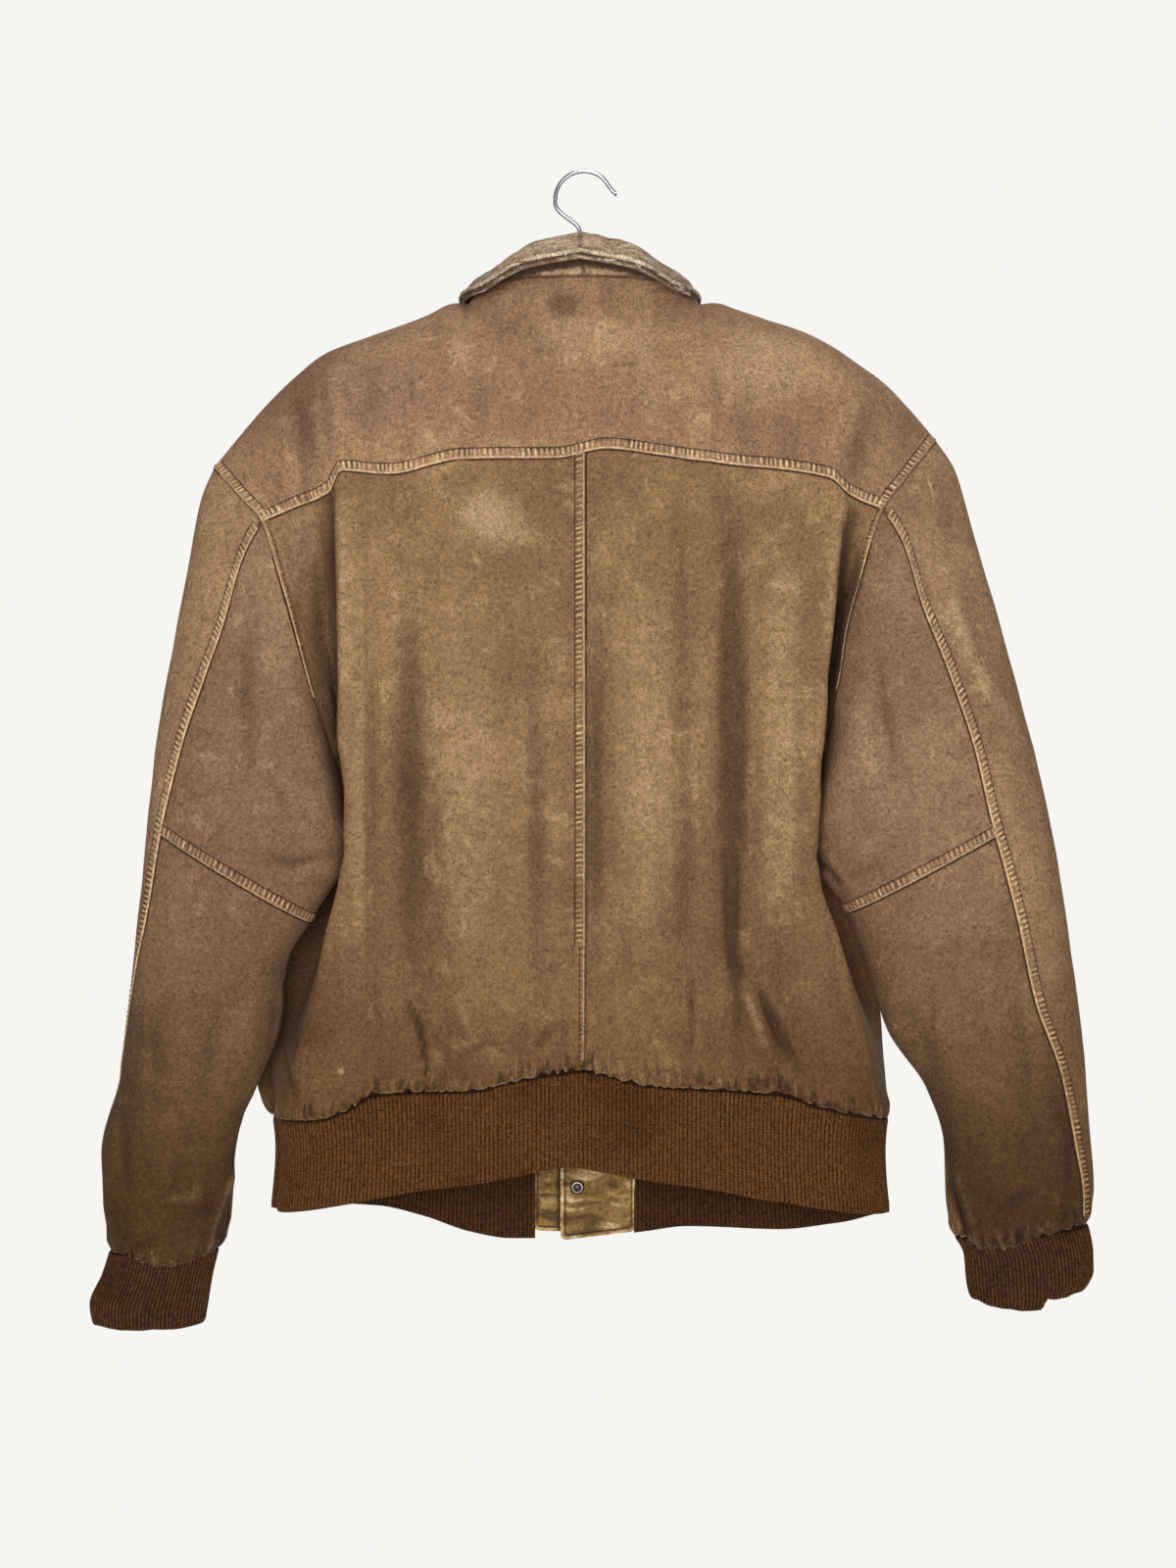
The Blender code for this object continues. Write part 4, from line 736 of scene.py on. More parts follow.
class Panel:
    """One cut piece: a grid of points on its outer surface, the direction of its wall at each point, and
    how far each stands on a ridge or lies in a crease, in millimetres, which is where wear, painted highlight
    and painted shade show."""

    def __init__(self, grid, outside_from):
        self.grid = grid
        self.normal = normals_of(grid, outside_from)
        self.crease = np.zeros(grid.shape[:2])

    def distance(self, border):
        far = lengths_down(from_border(self.grid, border))
        if border in ("bottom", "last"):
            far = far[::-1]
        return np.swapaxes(far, 0, 1) if border in ("first", "last") else far

    def border_distance(self):
        return np.minimum.reduce([self.distance(border) for border in BORDERS])

    def lift(self, height, shows=1.0):
        """Moves the surface out by a height at each point, and counts it as a ridge or a trough."""
        self.grid = self.grid + self.normal * height[..., None]
        self.crease = self.crease + shows * height / MM

    def seam_shade_and_grime(self, hem):
        """Darkens the cloth close to its seams, painted shade under the edges that lie over it with some
        grime where it dips into the stitching; the hem is left.
        """
        for border in BORDERS:
            if border != hem:
                self.crease = self.crease - 4.0 * np.exp(-(self.distance(border) / (1.9 * MM)) ** 2)

    def hem_distance(self, hem):
        return self.distance(hem) if hem else np.full(self.grid.shape[:2], 1.0)

    def wear_in(self):
        # the creases sink the surface, and their troughs are painted darker as shade and their ridges paler;
        # the soft unevenness is painted the same way at half strength
        depth, shown = creases(self.grid, self.normal)
        self.lift(-depth, 0)
        self.crease = self.crease - shown / MM
        self.lift(uneven(self.grid), 0.5)

    def sag(self, centre, width, dip):
        """Lets the bottom hang over the knit round one place, a little clear of it."""
        far = self.distance("bottom")
        share = np.exp(-((self.grid[..., 0] - centre) / width) ** 2) * np.exp(-(far / (18 * MM)) ** 2)
        self.grid = self.grid + (self.normal * 1.8 * MM + [0, 0, -dip]) * share[..., None]

    def gather(self, reach, depth, seed):
        """Small uneven gathers where the bottom is drawn in by the knit, and its scalloped, rolled edge."""
        far = self.distance("bottom")
        grid = from_border(self.grid, "bottom")
        line = grid[0]
        along = lengths_along(line)
        spots = np.stack([along, np.zeros_like(along), np.zeros_like(along)], axis=-1)
        beat = np.sin(2 * np.pi * (along / (9.5 * MM) + 0.9 * soft_noise(spots, (0.021, 1, 1), seed + 2)))
        size = 0.55 + 0.6 * soft_noise(spots, (0.014, 1, 1), seed + 3)
        wide = beat * size + 0.5 * soft_noise(spots, (0.008, 1, 1), seed)
        fine = soft_noise(spots, (0.0033, 1, 1), seed + 1)
        long = reach * (0.7 + 0.5 * soft_noise(spots, (0.012, 1, 1), seed + 4))
        inside = ease(np.minimum(self.distance("first"), self.distance("last")) / (6 * MM))
        pleats = wide * ease(1.3 - far / long) * (0.35 + 0.65 * np.exp(-far / (0.4 * long)))
        # the gathers' height is also painted: pale on their tops as highlight, dark in their hollows as shade
        self.lift(inside * depth * (pleats + 0.15 * fine * np.exp(-far / (0.2 * reach))), 0.8)
        self.lift(1.6 * MM * np.exp(-((far - 7 * MM) / (6 * MM)) ** 2)
                  - HEM_ROLL * np.clip(1 - far / (3 * MM), 0, 1) ** 2, 0.3)
        outward = line - grid[1]
        outward /= np.linalg.norm(outward, axis=-1, keepdims=True)
        scallop = (0.9 + 0.9 * wide)[:, None] * outward * MM
        self.grid = self.grid + scallop * (inside * np.exp(-(far / (3.5 * MM)) ** 2))[..., None]


class Sewing:
    """A mesh put together from grids of points, with named values kept at its points."""
    VALUES = ("crease", "border", "around", "drop")

    def __init__(self):
        self.points, self.faces, self.finishes = [], [], []
        self.values = {name: [] for name in self.VALUES}
        self.count = 0

    def add_points(self, grid, **values):
        index = self.count + np.arange(grid.shape[0] * grid.shape[1]).reshape(grid.shape[:2])
        self.points.append(grid.reshape(-1, 3))
        for name in self.VALUES:
            self.values[name].append(np.broadcast_to(values.get(name, 0.0), grid.shape[:2]).ravel())
        self.count += index.size
        return index

    def add_faces(self, rows, nexts, finish=0):
        """Quads between two lists of points, or all over a grid of them."""
        if nexts is None:
            rows, nexts = rows[:-1], rows[1:]
        quads = np.stack([rows[..., :-1], rows[..., 1:], nexts[..., 1:], nexts[..., :-1]], axis=-1)
        quads = quads.reshape(-1, 4)
        self.faces.append(quads)
        self.finishes.append(np.full(len(quads), finish))

    def wall(self, outer, inner, closed=False, inside=1, **values):
        """Outer and inner surface and the rims between them; inside is the number of the inner finish."""
        out, into = self.add_points(outer, **values), self.add_points(inner, **values)
        if closed:
            out, into = (np.concatenate([i, i[:, :1]], axis=1) for i in (out, into))
        self.add_faces(out, None)
        self.add_faces(into[:, ::-1], None, inside)
        self.add_faces(into[0], out[0])
        self.add_faces(out[-1], into[-1])
        if not closed:
            self.add_faces(out[:, 0], into[:, 0])
            self.add_faces(into[:, -1], out[:, -1])

    def make(self, name, finishes, sharp=50):
        points, faces = np.concatenate(self.points), np.concatenate(self.faces)
        mesh = bpy.data.meshes.new(name)
        mesh.from_pydata(points.tolist(), [], faces.tolist())
        for finish in finishes:
            mesh.materials.append(finish)
        mesh.polygons.foreach_set("material_index", np.concatenate(self.finishes).astype(np.int32))
        for value in self.VALUES:
            kept = mesh.attributes.new(value, "FLOAT", "POINT")
            kept.data.foreach_set("value", np.concatenate(self.values[value]).astype(np.float32))
        mesh.update()
        mesh.shade_smooth()
        mesh.set_sharp_from_angle(angle=math.radians(sharp))
        made = bpy.data.objects.new(name, mesh)
        bpy.context.scene.collection.objects.link(made)
        return made


def sew_panel(sewing, panel, thickness, hem):
    """The wall of a panel, its columns turned round where the grid's own winding would face inwards."""
    parts = panel.grid, panel.normal, panel.crease, panel.hem_distance(hem)
    if not winds_outwards(panel.grid, panel.normal):
        parts = [part[:, ::-1] for part in parts]
    grid, normal, crease, border = parts
    sewing.wall(grid, grid - normal * thickness, crease=crease, border=border, drop=border)


# ---------------------------------------------------------------- lapped seams and stitches
# Sections across a folded edge, from outside the seam (below 0) into the panel: places and heights in
# millimetres, tones for the wear and for painted shade (the dark strip outside the edge, the groove by the
# stitches and the gaps round the collar's roll), and which point the stitches run on.
PROFILES = {
    "wide": ((-2.3, -2.0, -1.1, -0.9, -0.5, 0.0, 0.5, 1.2, 2.2, 3.3, 4.4, 5.4, 6.2, 6.8, 7.4, 8.2, 9.4),
             (-0.4, 0.14, 0.14, 0.0, 0.5, 0.95, 1.15, 1.2, 1.05, 1.0, 0.95, 0.85, 0.6, 0.2, 0.5, 0.5, -0.3),
             (-9, -9, -9, -5, 3.5, 4.5, 2.2, 0.4, 0.3, 0.4, 0.3, 0, -1.5, -4.5, -0.6, 0.2, 0), 13),
    "narrow": ((-2.0, -1.7, -1.0, -0.7, -0.3, 0.2, 0.8, 1.6, 2.4, 3.1, 3.7, 4.3, 5.2),
               (-0.4, 0.14, 0.14, 0.0, 0.5, 0.8, 0.9, 0.75, 0.55, 0.2, 0.45, 0.4, -0.3),
               (-9, -9, -9, -5, 3.5, 4, 1.5, 0.3, -0.7, -4, -0.5, 0.2, 0), 9),
    "rolled": ((5, 4.2, 3.2, 2.0, 0.8, 0.0, -0.5, -0.2, -0.6, -1.4, -1.9, -1.9, -1.2, 0.3, 2.5, 4),
               (-0.3, 0.3, 0.8, 1.1, 1.0, 0.3, -0.8, -1.4, -2.2, -2.9, -3.7, -4.6, -5.2, -5.6, -4.6, -2.5),
               (0, 0.5, 1.6, 2.6, 2.8, 2.8, 0.5, -8, -9, -3, -2.2, -2.4, -7, -9, -9, -9), 7),
}
LAP_SPACING = 0.75 * MM
PUCKER = 0.6 * MM
PUCKER_PITCH = 3.8 * MM
STITCH_PITCH = 3.2 * MM
STITCH_RADIUS = 0.4 * MM
STITCH_HALF = 0.38 * STITCH_PITCH
STITCH_PROUD = 0.05 * MM        # how far the middle of a stitch stands off the cloth
TAB_STITCH_INSET, PLACKET_STITCH_INSET = 3.5 * MM, 4 * MM


def beside_border(panel, border, distances, start, stop, spacing):
    """Points and wall directions at set distances in from a border, evenly spaced along it."""
    grid, normal = from_border(panel.grid, border), from_border(panel.normal, border)
    far = lengths_down(grid)
    outward = grid[0] - grid[1]
    outward /= np.linalg.norm(outward, axis=-1, keepdims=True)
    both = np.concatenate([grid, normal], axis=-1)
    rows = np.array([[np.interp(distances, far[:, c], both[:, c, i]) for i in range(6)]
                     for c in range(grid.shape[1])]).swapaxes(1, 2)
    rows[..., :3] -= np.minimum(distances, 0)[:, None] * outward[:, None]
    along = lengths_along(grid[0])
    wanted = np.arange(start * along[-1], stop * along[-1], spacing)
    even_rows = np.array([[np.interp(wanted, along, rows[:, j, i]) for i in range(6)]
                          for j in range(len(distances))]).transpose(2, 0, 1)
    return even_rows[..., :3], even_rows[..., 3:], wanted


def lap(sewing, panel, border, start, stop, sort, seed):
    """A folded and stitched edge: a raised band beside a border with close little puckers across it.
    It returns the line of its stitches."""
    across, heights, tones, stitch = PROFILES[sort]
    across, heights = np.array(across) * MM, np.array(heights) * MM
    points, normals, along = beside_border(panel, border, across, start, stop, LAP_SPACING)
    spots = np.stack([along, np.full_like(along, 0.01 * seed), np.zeros_like(along)], axis=-1)
    sway = soft_noise(spots, (0.009, 1, 1), 11 + seed)
    strength = 0.8 + 0.7 * soft_noise(spots, (0.006, 1, 1), 12 + seed)
    wave = np.sin(2 * np.pi * (along / PUCKER_PITCH + 0.5 * sway)) * strength
    far = across[-1]
    window = ease((across - 0.4 * MM) / (1.5 * MM)) * (1 - ease((across - 0.62 * far) / (0.12 * far)))
    ripple = np.outer(wave, window) * PUCKER * (1.0 if sort == "wide" else 0.5)
    lift = heights + ripple + 0.12 * MM * sway[:, None]
    surface = points + normals * lift[..., None]
    # the puckers' tops are painted pale as highlight and their hollows dark as shade
    crease = tones + 9.0 * np.maximum(ripple, 0.45 * ripple) / MM + 0.8 * sway[:, None]
    index = sewing.add_points(surface, crease=crease, border=1.0, drop=1.0)
    if not winds_outwards(surface, normals):
        index = index[:, ::-1]
    sewing.add_faces(index, None)
    line = points[:, stitch] + normals[:, stitch] * (heights[stitch] + 0.1 * MM)
    return line, normals[:, stitch]


def stitch_line(panel, border, inset, margin):
    """The line of a row of stitches beside a border and its outward directions; the margin is the share
    that it leaves free at each end."""
    points, normals, _ = beside_border(panel, border, np.array([inset]), margin, 1 - margin, 1 * MM)
    return points[:, 0], normals[:, 0]


def rod():
    """A short square stitch along X with tapered ends, one long and one thick."""
    rings = [(-0.5, 0.0), (-0.36, 0.8), (0.0, 1.1), (0.36, 0.8), (0.5, 0.0)]
    angles = np.linspace(0, 2 * np.pi, 4, endpoint=False)
    return np.array([[(x, r * np.cos(a), r * np.sin(a)) for a in angles] for x, r in rings])


def stitches(lines, name, thread):
    """All the rows of stitches of one sort as one mesh."""
    template = rod()
    sewing = Sewing()
    for line, normals in lines:
        along = lengths_along(line)
        for place in np.arange(0.5 * STITCH_PITCH, along[-1] - 0.4 * STITCH_PITCH, STITCH_PITCH):
            ends = [np.array([np.interp(place + d, along, line[:, i]) for i in range(3)])
                    for d in (-STITCH_HALF, STITCH_HALF)]
            up = np.array([np.interp(place, along, normals[:, i]) for i in range(3)])
            length = np.linalg.norm(ends[1] - ends[0])
            forward = (ends[1] - ends[0]) / length
            side = np.cross(up, forward)
            side /= np.linalg.norm(side)
            up = np.cross(forward, side)
            middle = (ends[0] + ends[1]) / 2
            made = (middle + template[..., :1] * length * forward + template[..., 1:2] * STITCH_RADIUS * side
                    + template[..., 2:] * STITCH_RADIUS * up)
            index = sewing.add_points(made)
            sewing.add_faces(np.concatenate([index, index[:, :1]], axis=1)[:, ::-1], None)
    return sewing.make(name, [thread], 80)


# ---------------------------------------------------------------- fine columns and rows
def even(marks, lengths, step):
    """Values of a share, spaced so that the points on the cloth lie about a step apart."""
    places = np.concatenate([[0], np.cumsum(lengths)])
    return np.interp(np.linspace(0, places[-1], round(places[-1] / step) + 1), places, marks)


def both_halves(row_function, across, alongs):
    """A grid whose rows run from the left edge over the centre to the right edge."""
    rows = []
    for along in alongs:
        left = row_function(LEFT, across, along)[::-1]
        right = row_function(RIGHT, across, along)
        middle = (left[-1] + right[0]) / 2
        rows.append(np.concatenate([left[:-1], middle[None], right[1:]]))
    return np.array(rows)


NECK_COLUMNS = np.linspace(0, NECK_SHARE, 36)
SHOULDER_COLUMNS = even([0.4, 0.66, 0.8, 0.9, 0.965, 1.0], [62, 28, 30, 22, 14], 2.8)[1:]
ACROSS = np.concatenate([NECK_COLUMNS, SHOULDER_COLUMNS])
NECK_POINT = len(NECK_COLUMNS) - 1
YOKE_STEPS = np.linspace(0, 1, 50) ** 1.2
ARM_STEPS = np.linspace(0, 1, 64)
FRONT_ARM_STEPS = np.linspace(0, 1, 72) ** 1.2
SIDE_STEPS = np.linspace(0, 1, 86)
ELBOW_ROW = 67
SLEEVE_ALONGS = np.concatenate([np.linspace(0, ELBOW, ELBOW_ROW + 1), np.linspace(ELBOW, 1, 78)[1:]])
BACK_ALONGS = np.concatenate([ARM_STEPS * ARM_SHARE, mix(ARM_SHARE, 1, SIDE_STEPS[1:])])
FRONT_ALONGS = np.concatenate([FRONT_ARM_STEPS * FRONT_ARM_SHARE, mix(FRONT_ARM_SHARE, 1, SIDE_STEPS[1:])])
BODY_AXIS = np.array([0, 0, -0.45])
CUFF_ROWS, BAND_ROWS = 18, 15
COLLAR_COLUMNS, STAND_ROWS = 132, 14
TAB_ROWS, TAB_COLUMNS = 66, 56
PLACKET_ROWS, PLACKET_COLUMNS = 170, 20


def body_panels():
    """Yoke, back and front panels, with their seams' walls shared."""
    yoke = Panel(both_halves(yoke_row, ACROSS, YOKE_STEPS), BODY_AXIS)
    backs = {side: Panel(np.array([back_row(side, ACROSS, a) for a in BACK_ALONGS]), BODY_AXIS)
             for side in (LEFT, RIGHT)}
    fronts = {side: Panel(np.array([front_row(side, ACROSS, a) for a in FRONT_ALONGS]), BODY_AXIS)
              for side in (LEFT, RIGHT)}
    half = len(ACROSS) - 1
    for side in (LEFT, RIGHT):
        yoke_half = yoke.normal[:, half:] if side == RIGHT else yoke.normal[:, half::-1]
        share_seam(yoke_half[-1], backs[side].normal[0])
        share_seam(yoke_half[0, NECK_POINT:], fronts[side].normal[0, NECK_POINT:])
        under = len(ARM_STEPS) - 1, len(FRONT_ARM_STEPS) - 1
        share_seam(backs[side].normal[under[0]:, -1], fronts[side].normal[under[1]:, -1])
    share_seam(backs[LEFT].normal[:, 0], backs[RIGHT].normal[:, 0])
    share_seam(fronts[LEFT].normal[:, 0], fronts[RIGHT].normal[:, 0])
    return yoke, backs, fronts


def sleeve_turns(side, along):
    """Turns round the section for the top sleeve (inner seam, front, back seam) and the under sleeve."""
    seam, inner = seam_turn(side, along, "turn"), seam_turn(side, along, "inner_turn")
    spread = ease(along / 0.35)
    crest = mix(2.0, mix(inner, 2 + seam, 0.6), spread)
    front = mix(crest, inner, mix(FRONT_ARM_STEPS, np.linspace(0, 1, len(FRONT_ARM_STEPS)), spread)[::-1])
    back = mix(crest, 2 + seam, mix(YOKE_STEPS, np.linspace(0, 1, len(YOKE_STEPS)), spread)[1:])
    return np.concatenate([front, back]), mix(seam, inner, ARM_STEPS)


def sleeve_panels(side):
    """The top sleeve, from its inner seam round the front to its back seam, and the under sleeve."""
    top, under = [], []
    for along in SLEEVE_ALONGS:
        top_turns, under_turns = sleeve_turns(side, along)
        top.append(sleeve_row(side, top_turns, along))
        under.append(sleeve_row(side, under_turns, along))
    axis = np.array([side * 0.27, -0.02, -0.5])
    top, under = Panel(np.array(top), axis), Panel(np.array(under), axis)
    share_seam(top.normal[:, -1], under.normal[:, 0])
    share_seam(top.normal[:, 0], under.normal[:, -1])
    return top, under


def share_armhole(side, yoke, back, front, top, under):
    """The armhole seam: the front panel, yoke and back panel against the head of the sleeve."""
    count = len(FRONT_ARM_STEPS)
    share_seam(front.normal[count - 1::-1, -1], top.normal[0, :count])
    share_seam(yoke.normal[1:, -1 if side == RIGHT else 0], top.normal[0, count:])
    share_seam(back.normal[:len(ARM_STEPS), -1], under.normal[0])


def part_of(panel, rows):
    """A stretch of a panel's rows as a panel of its own."""
    piece = Panel(panel.grid[rows], BODY_AXIS)
    piece.normal, piece.crease = panel.normal[rows], panel.crease[rows]
    return piece


# ---------------------------------------------------------------- making the leather and knit pieces
def leather_piece(node, panel, thickness, outside, inside, laps, seam_lines, hem=None):
    """One panel with its wall, and its lapped edges beside it: the piece, its node and its trims."""
    sewing, edges = Sewing(), Sewing()
    panel.seam_shade_and_grime(hem)
    sew_panel(sewing, panel, thickness, hem)
    for border, start, stop, sort, seed in laps:
        seam_lines.append(lap(edges, panel, border, start, stop, sort, seed))
    trims = [edges.make(f"{node}_lapped_edge", [outside])] if laps else []
    return sewing.make(f"{node}_cloth", [outside, inside]), node, trims


# Where the under sleeve hangs over its cuff: the place along X, how wide and how deep.
UNDER_SLEEVE_SAG = {LEFT: (-299 * MM, 26 * MM, 9 * MM), RIGHT: (297 * MM, 30 * MM, 8 * MM)}
# Gathers: how far they reach up from the knit, and how deep they are.
WAIST_GATHERS = 30 * MM, 2.3 * MM
WRIST_GATHERS = 22 * MM, 1.9 * MM
HEM_ROLL = 1.2 * MM             # how far the edge above the knit rolls in
KNIT_TUCK = 1.5 * MM            # how far the knit goes up behind the leather's hem
STAND_TUCK = 2 * MM             # how far the stand goes down behind the neck seam


def make_body_and_sleeves(leathers, cuff_knit, seam_lines):
    """The yoke, back and front panels, and for each sleeve its top, its two under pieces and its cuff."""
    yoke, backs, fronts = body_panels()
    sleeves = {}
    for side in (LEFT, RIGHT):
        top, under = sleeve_panels(side)
        share_armhole(side, yoke, backs[side], fronts[side], top, under)
        sleeves[side] = top, under
    for panel in [yoke, *backs.values(), *fronts.values(), *sleeves[LEFT], *sleeves[RIGHT]]:
        panel.wear_in()
    made = []
    for side in (LEFT, RIGHT):
        name = SIDE_NAMES[side]
        top, under = sleeves[side]
        # painted shade in the fold beside each front's side seam
        fronts[side].crease -= 2.6 * np.exp(-(fronts[side].distance("last") / (16 * MM)) ** 2)
        under.sag(*UNDER_SLEEVE_SAG[side])
        for panel, seed in ((backs[side], 40), (fronts[side], 50)):
            panel.gather(*WAIST_GATHERS, seed + side)
        for panel, seed in ((top, 60), (under, 70)):
            panel.gather(*WRIST_GATHERS, seed + side)
        upper, lower = part_of(under, slice(0, ELBOW_ROW + 1)), part_of(under, slice(ELBOW_ROW, None))
        back_laps = [("last", 0.0, 0.62 * ARM_SHARE, "narrow", 7 + side)]
        if side == LEFT:        # the centre seam is lapped on one side only
            back_laps += [("first", 0.0, 0.8, "wide", 9), ("first", 0.8, 0.985, "narrow", 12)]
        for piece, panel, finish, laps, hem in (
                ("sleeve_top", top, "sleeve", [("last", 0.012, 0.985, "wide", 1 + side)], "bottom"),
                ("sleeve_under_upper", upper, "under", [("bottom", 0.0, 0.97, "wide", 4 + side)], None),
                ("sleeve_under_lower", lower, "under", [], "bottom"),
                ("back_panel", backs[side], "back", back_laps, "bottom"),
                ("front", fronts[side], "front", [("last", 0.0, 0.42, "narrow", 44 + side)], "bottom")):
            made.append(leather_piece(f"{piece}_{name}", panel, LEATHER, leathers[finish], leathers["inside"],
                                      laps, seam_lines, hem))
        make_cuff(side, cuff_knit, made)
    laps = [("bottom", 0.0, 1.0, "wide", 20), ("first", 0.12, 1.0, "wide", 21),
            ("last", 0.12, 1.0, "wide", 22)]
    made.append(leather_piece("back_yoke", yoke, LEATHER, leathers["yoke"], leathers["inside"], laps,
                              seam_lines))
    return made


RIB_PITCH = {"waistband": 3.1 * MM, "cuff": 2.8 * MM}
RIB_HEIGHT = {"waistband": 0.5 * MM, "cuff": 0.75 * MM}
POINTS_A_RIB = 5
RIBS_START = 3 * MM             # the ribs reach their height this far below the knit's top
TUCK_REACH = 4 * MM             # and its top turns in behind the leather over this length
KNIT_SWAY = 0.5 * MM
KNIT_PINCH = 0.5 * MM           # how far each face of the knit comes in at its hem


def ribs(line, kind, closed):
    """Places along a line of cloth, a few to a rib, and how far each stands out."""
    length = np.sum(np.linalg.norm(np.diff(line, axis=0), axis=1))
    count = round(length / RIB_PITCH[kind])
    places = np.linspace(0, count, count * POINTS_A_RIB + 1)
    if closed:
        places = places[:-1]
    height = RIB_HEIGHT[kind] * (np.abs(np.sin(np.pi * places)) ** 0.7 * 2 - 1)
    return places / count, places, height


def resampled(grid, shares):
    """The grid's columns read again at shares of its length."""
    along = lengths_along(grid[len(grid) // 2])
    along /= along[-1]
    return np.stack([np.stack([np.interp(shares, along, row[:, i]) for i in range(3)], axis=-1)
                     for row in grid])


def knit_piece(name, kind, grid, finish, closed, outside_from, top_in):
    """A ribbed tube or band: the ribs stand out on both faces, and the hem edge is a soft roll."""
    ring = np.concatenate([grid, grid[:, :1]], axis=1) if closed else grid
    shares, places, height = ribs(ring[len(ring) // 2], kind, closed)
    fine = resampled(ring, shares)
    if closed:
        around = np.concatenate([fine[:, -2:], fine, fine[:, :2]], axis=1)
        normal = normals_of(around, outside_from)[:, 2:-2]
    else:
        normal = normals_of(fine, outside_from)
    drop = lengths_down(fine)
    tuck = np.clip(1 - drop / TUCK_REACH, 0, 1) ** 2 * top_in
    sway = KNIT_SWAY * soft_noise(fine, (0.02, 0.02, 0.03), 81)
    outer = fine + normal * (height[None, :] * ease(drop / RIBS_START) - tuck + sway)[..., None]
    inner = fine + normal * (-KNIT - 0.8 * height[None, :] - tuck + sway)[..., None]
    outer[-1] -= normal[-1] * KNIT_PINCH
    inner[-1] += normal[-1] * KNIT_PINCH
    sewing = Sewing()
    crease = np.broadcast_to(height[None, :] / RIB_HEIGHT[kind], outer.shape[:2])
    around = np.broadcast_to(places[None, :], outer.shape[:2])
    if not winds_outwards(outer, normal):
        outer, inner, crease, around, drop = (a[:, ::-1] for a in (outer, inner, crease, around, drop))
    sewing.wall(outer, inner, closed, crease=crease, around=around, drop=drop)
    return sewing.make(f"{name}_knit", finish, 75), name, []


# How far the back edge of the right cuff is drawn up along X, both in millimetres.
RIGHT_CUFF_STEPS = (275, 0), (285, 4.5), (301, 1), (316, 0), (329, -1), (334, 6), (343, 5.5), (362, 3)


def make_cuff(side, knit, made):
    """The cuff takes up the columns of the sleeve's end, and hangs from under its rolled edge."""
    top_turns, under_turns = sleeve_turns(side, 1.0)
    turns = np.concatenate([top_turns, 2 + under_turns[1:-1]])
    shares = np.linspace(0, 1, CUFF_ROWS)
    grid = np.array([cuff_row(side, turns, a) for a in shares])
    grid[0, :, 2] += KNIT_TUCK
    drop = shares[:, None]
    grid[..., 2] += drop ** 4 * 1.1 * MM * soft_noise(grid, (0.008, 0.02, 0.3), 83)
    if side == RIGHT:               # its back edge is drawn up beside a short fold
        back = drop ** 2 * ease((12 * MM - grid[..., 1]) / (16 * MM))
        steps = np.interp(grid[..., 0] / MM, *zip(*RIGHT_CUFF_STEPS))
        fold = np.exp(-((grid[..., 0] - (326 + 7 * drop) * MM) / (3 * MM)) ** 2)
        grid[..., 2] += back * steps * MM
        grid[..., 1] += back * fold * 3 * MM
    name = f"cuff_{SIDE_NAMES[side]}"
    made.append(knit_piece(name, "cuff", grid, knit, True, grid.reshape(-1, 3).mean(axis=0), 1.5 * MM))


def make_waistband(knit, made):
    """From the overlap tab round the left side, the back and the right side to the underlap tab."""
    places, columns = [], np.append(ACROSS[::2], 1.0)
    for side, end in BAND_ENDS.items():
        front = [(side, True, end - 0.009)] + [(side, True, a) for a in columns if a > end + 0.01]
        stretch = front + [(side, False, a) for a in columns[-2::-1]]
        places += stretch if side == LEFT else stretch[::-1][1:]
    grid = np.array([[band_point(*place, drop) for place in places] for drop in np.linspace(0, 1, BAND_ROWS)])
    grid[0, :, 2] += KNIT_TUCK
    made.append(knit_piece("waistband", "waistband", grid, knit, False, np.array([0, 0, -0.72]), 1.6 * MM))


def make_collar(leathers, seam_lines, made):
    """The stand round the neck and the fall that rolls over it, each in two halves with a seam behind."""
    angles = np.linspace(0, 180, COLLAR_COLUMNS)
    alongs = np.concatenate([np.linspace(0, 0.8, 24), np.linspace(0.8, 1, 13)[1:]])
    stands, falls = {}, {}
    for side in (LEFT, RIGHT):
        stands[side] = Panel(np.array([stand_row(side, angles, a) for a in np.linspace(0, 1, STAND_ROWS)]),
                             np.array([0, 0, -0.1]))
        falls[side] = Panel(np.array([fall_row(side, angles, a) for a in alongs]), np.array([0, 0, -0.4]))
    for pair in (stands, falls):
        share_seam(pair[LEFT].normal[:, 0], pair[RIGHT].normal[:, 0])
        for panel in pair.values():
            panel.normal[0, :, 2] = 0
            panel.normal[0] /= np.linalg.norm(panel.normal[0], axis=-1, keepdims=True)
    for side in (LEFT, RIGHT):
        name = SIDE_NAMES[side]
        stands[side].grid[0, :, 2] -= STAND_TUCK
        for kind, panel, thickness in (("stand", stands[side], LEATHER),
                                       ("fall", falls[side], COLLAR_LEATHER)):
            inside = ease(panel.border_distance() / (5 * MM))
            panel.lift(inside * 0.7 * MM * soft_noise(panel.grid, (0.008, 0.02, 0.03), 90))
            panel.lift(inside * 0.4 * MM * soft_noise(panel.grid, (0.004, 0.009, 0.008), 91))
            laps, hem = [("bottom", 0.0, 1.0, "rolled", 31 + side)], "bottom"
            if kind == "stand":         # painted shadow where the fall lies over it
                laps, hem = [], None
                up = panel.grid[..., 2] - collar_point(side, angles, "edge")[:, 2]
                panel.crease = panel.crease - 8 * ease((up + 1.6 * MM) / (1.8 * MM))
            made.append(leather_piece(f"collar_{kind}_{name}", panel, thickness, leathers[kind],
                                      leathers["under"], laps, seam_lines, hem))


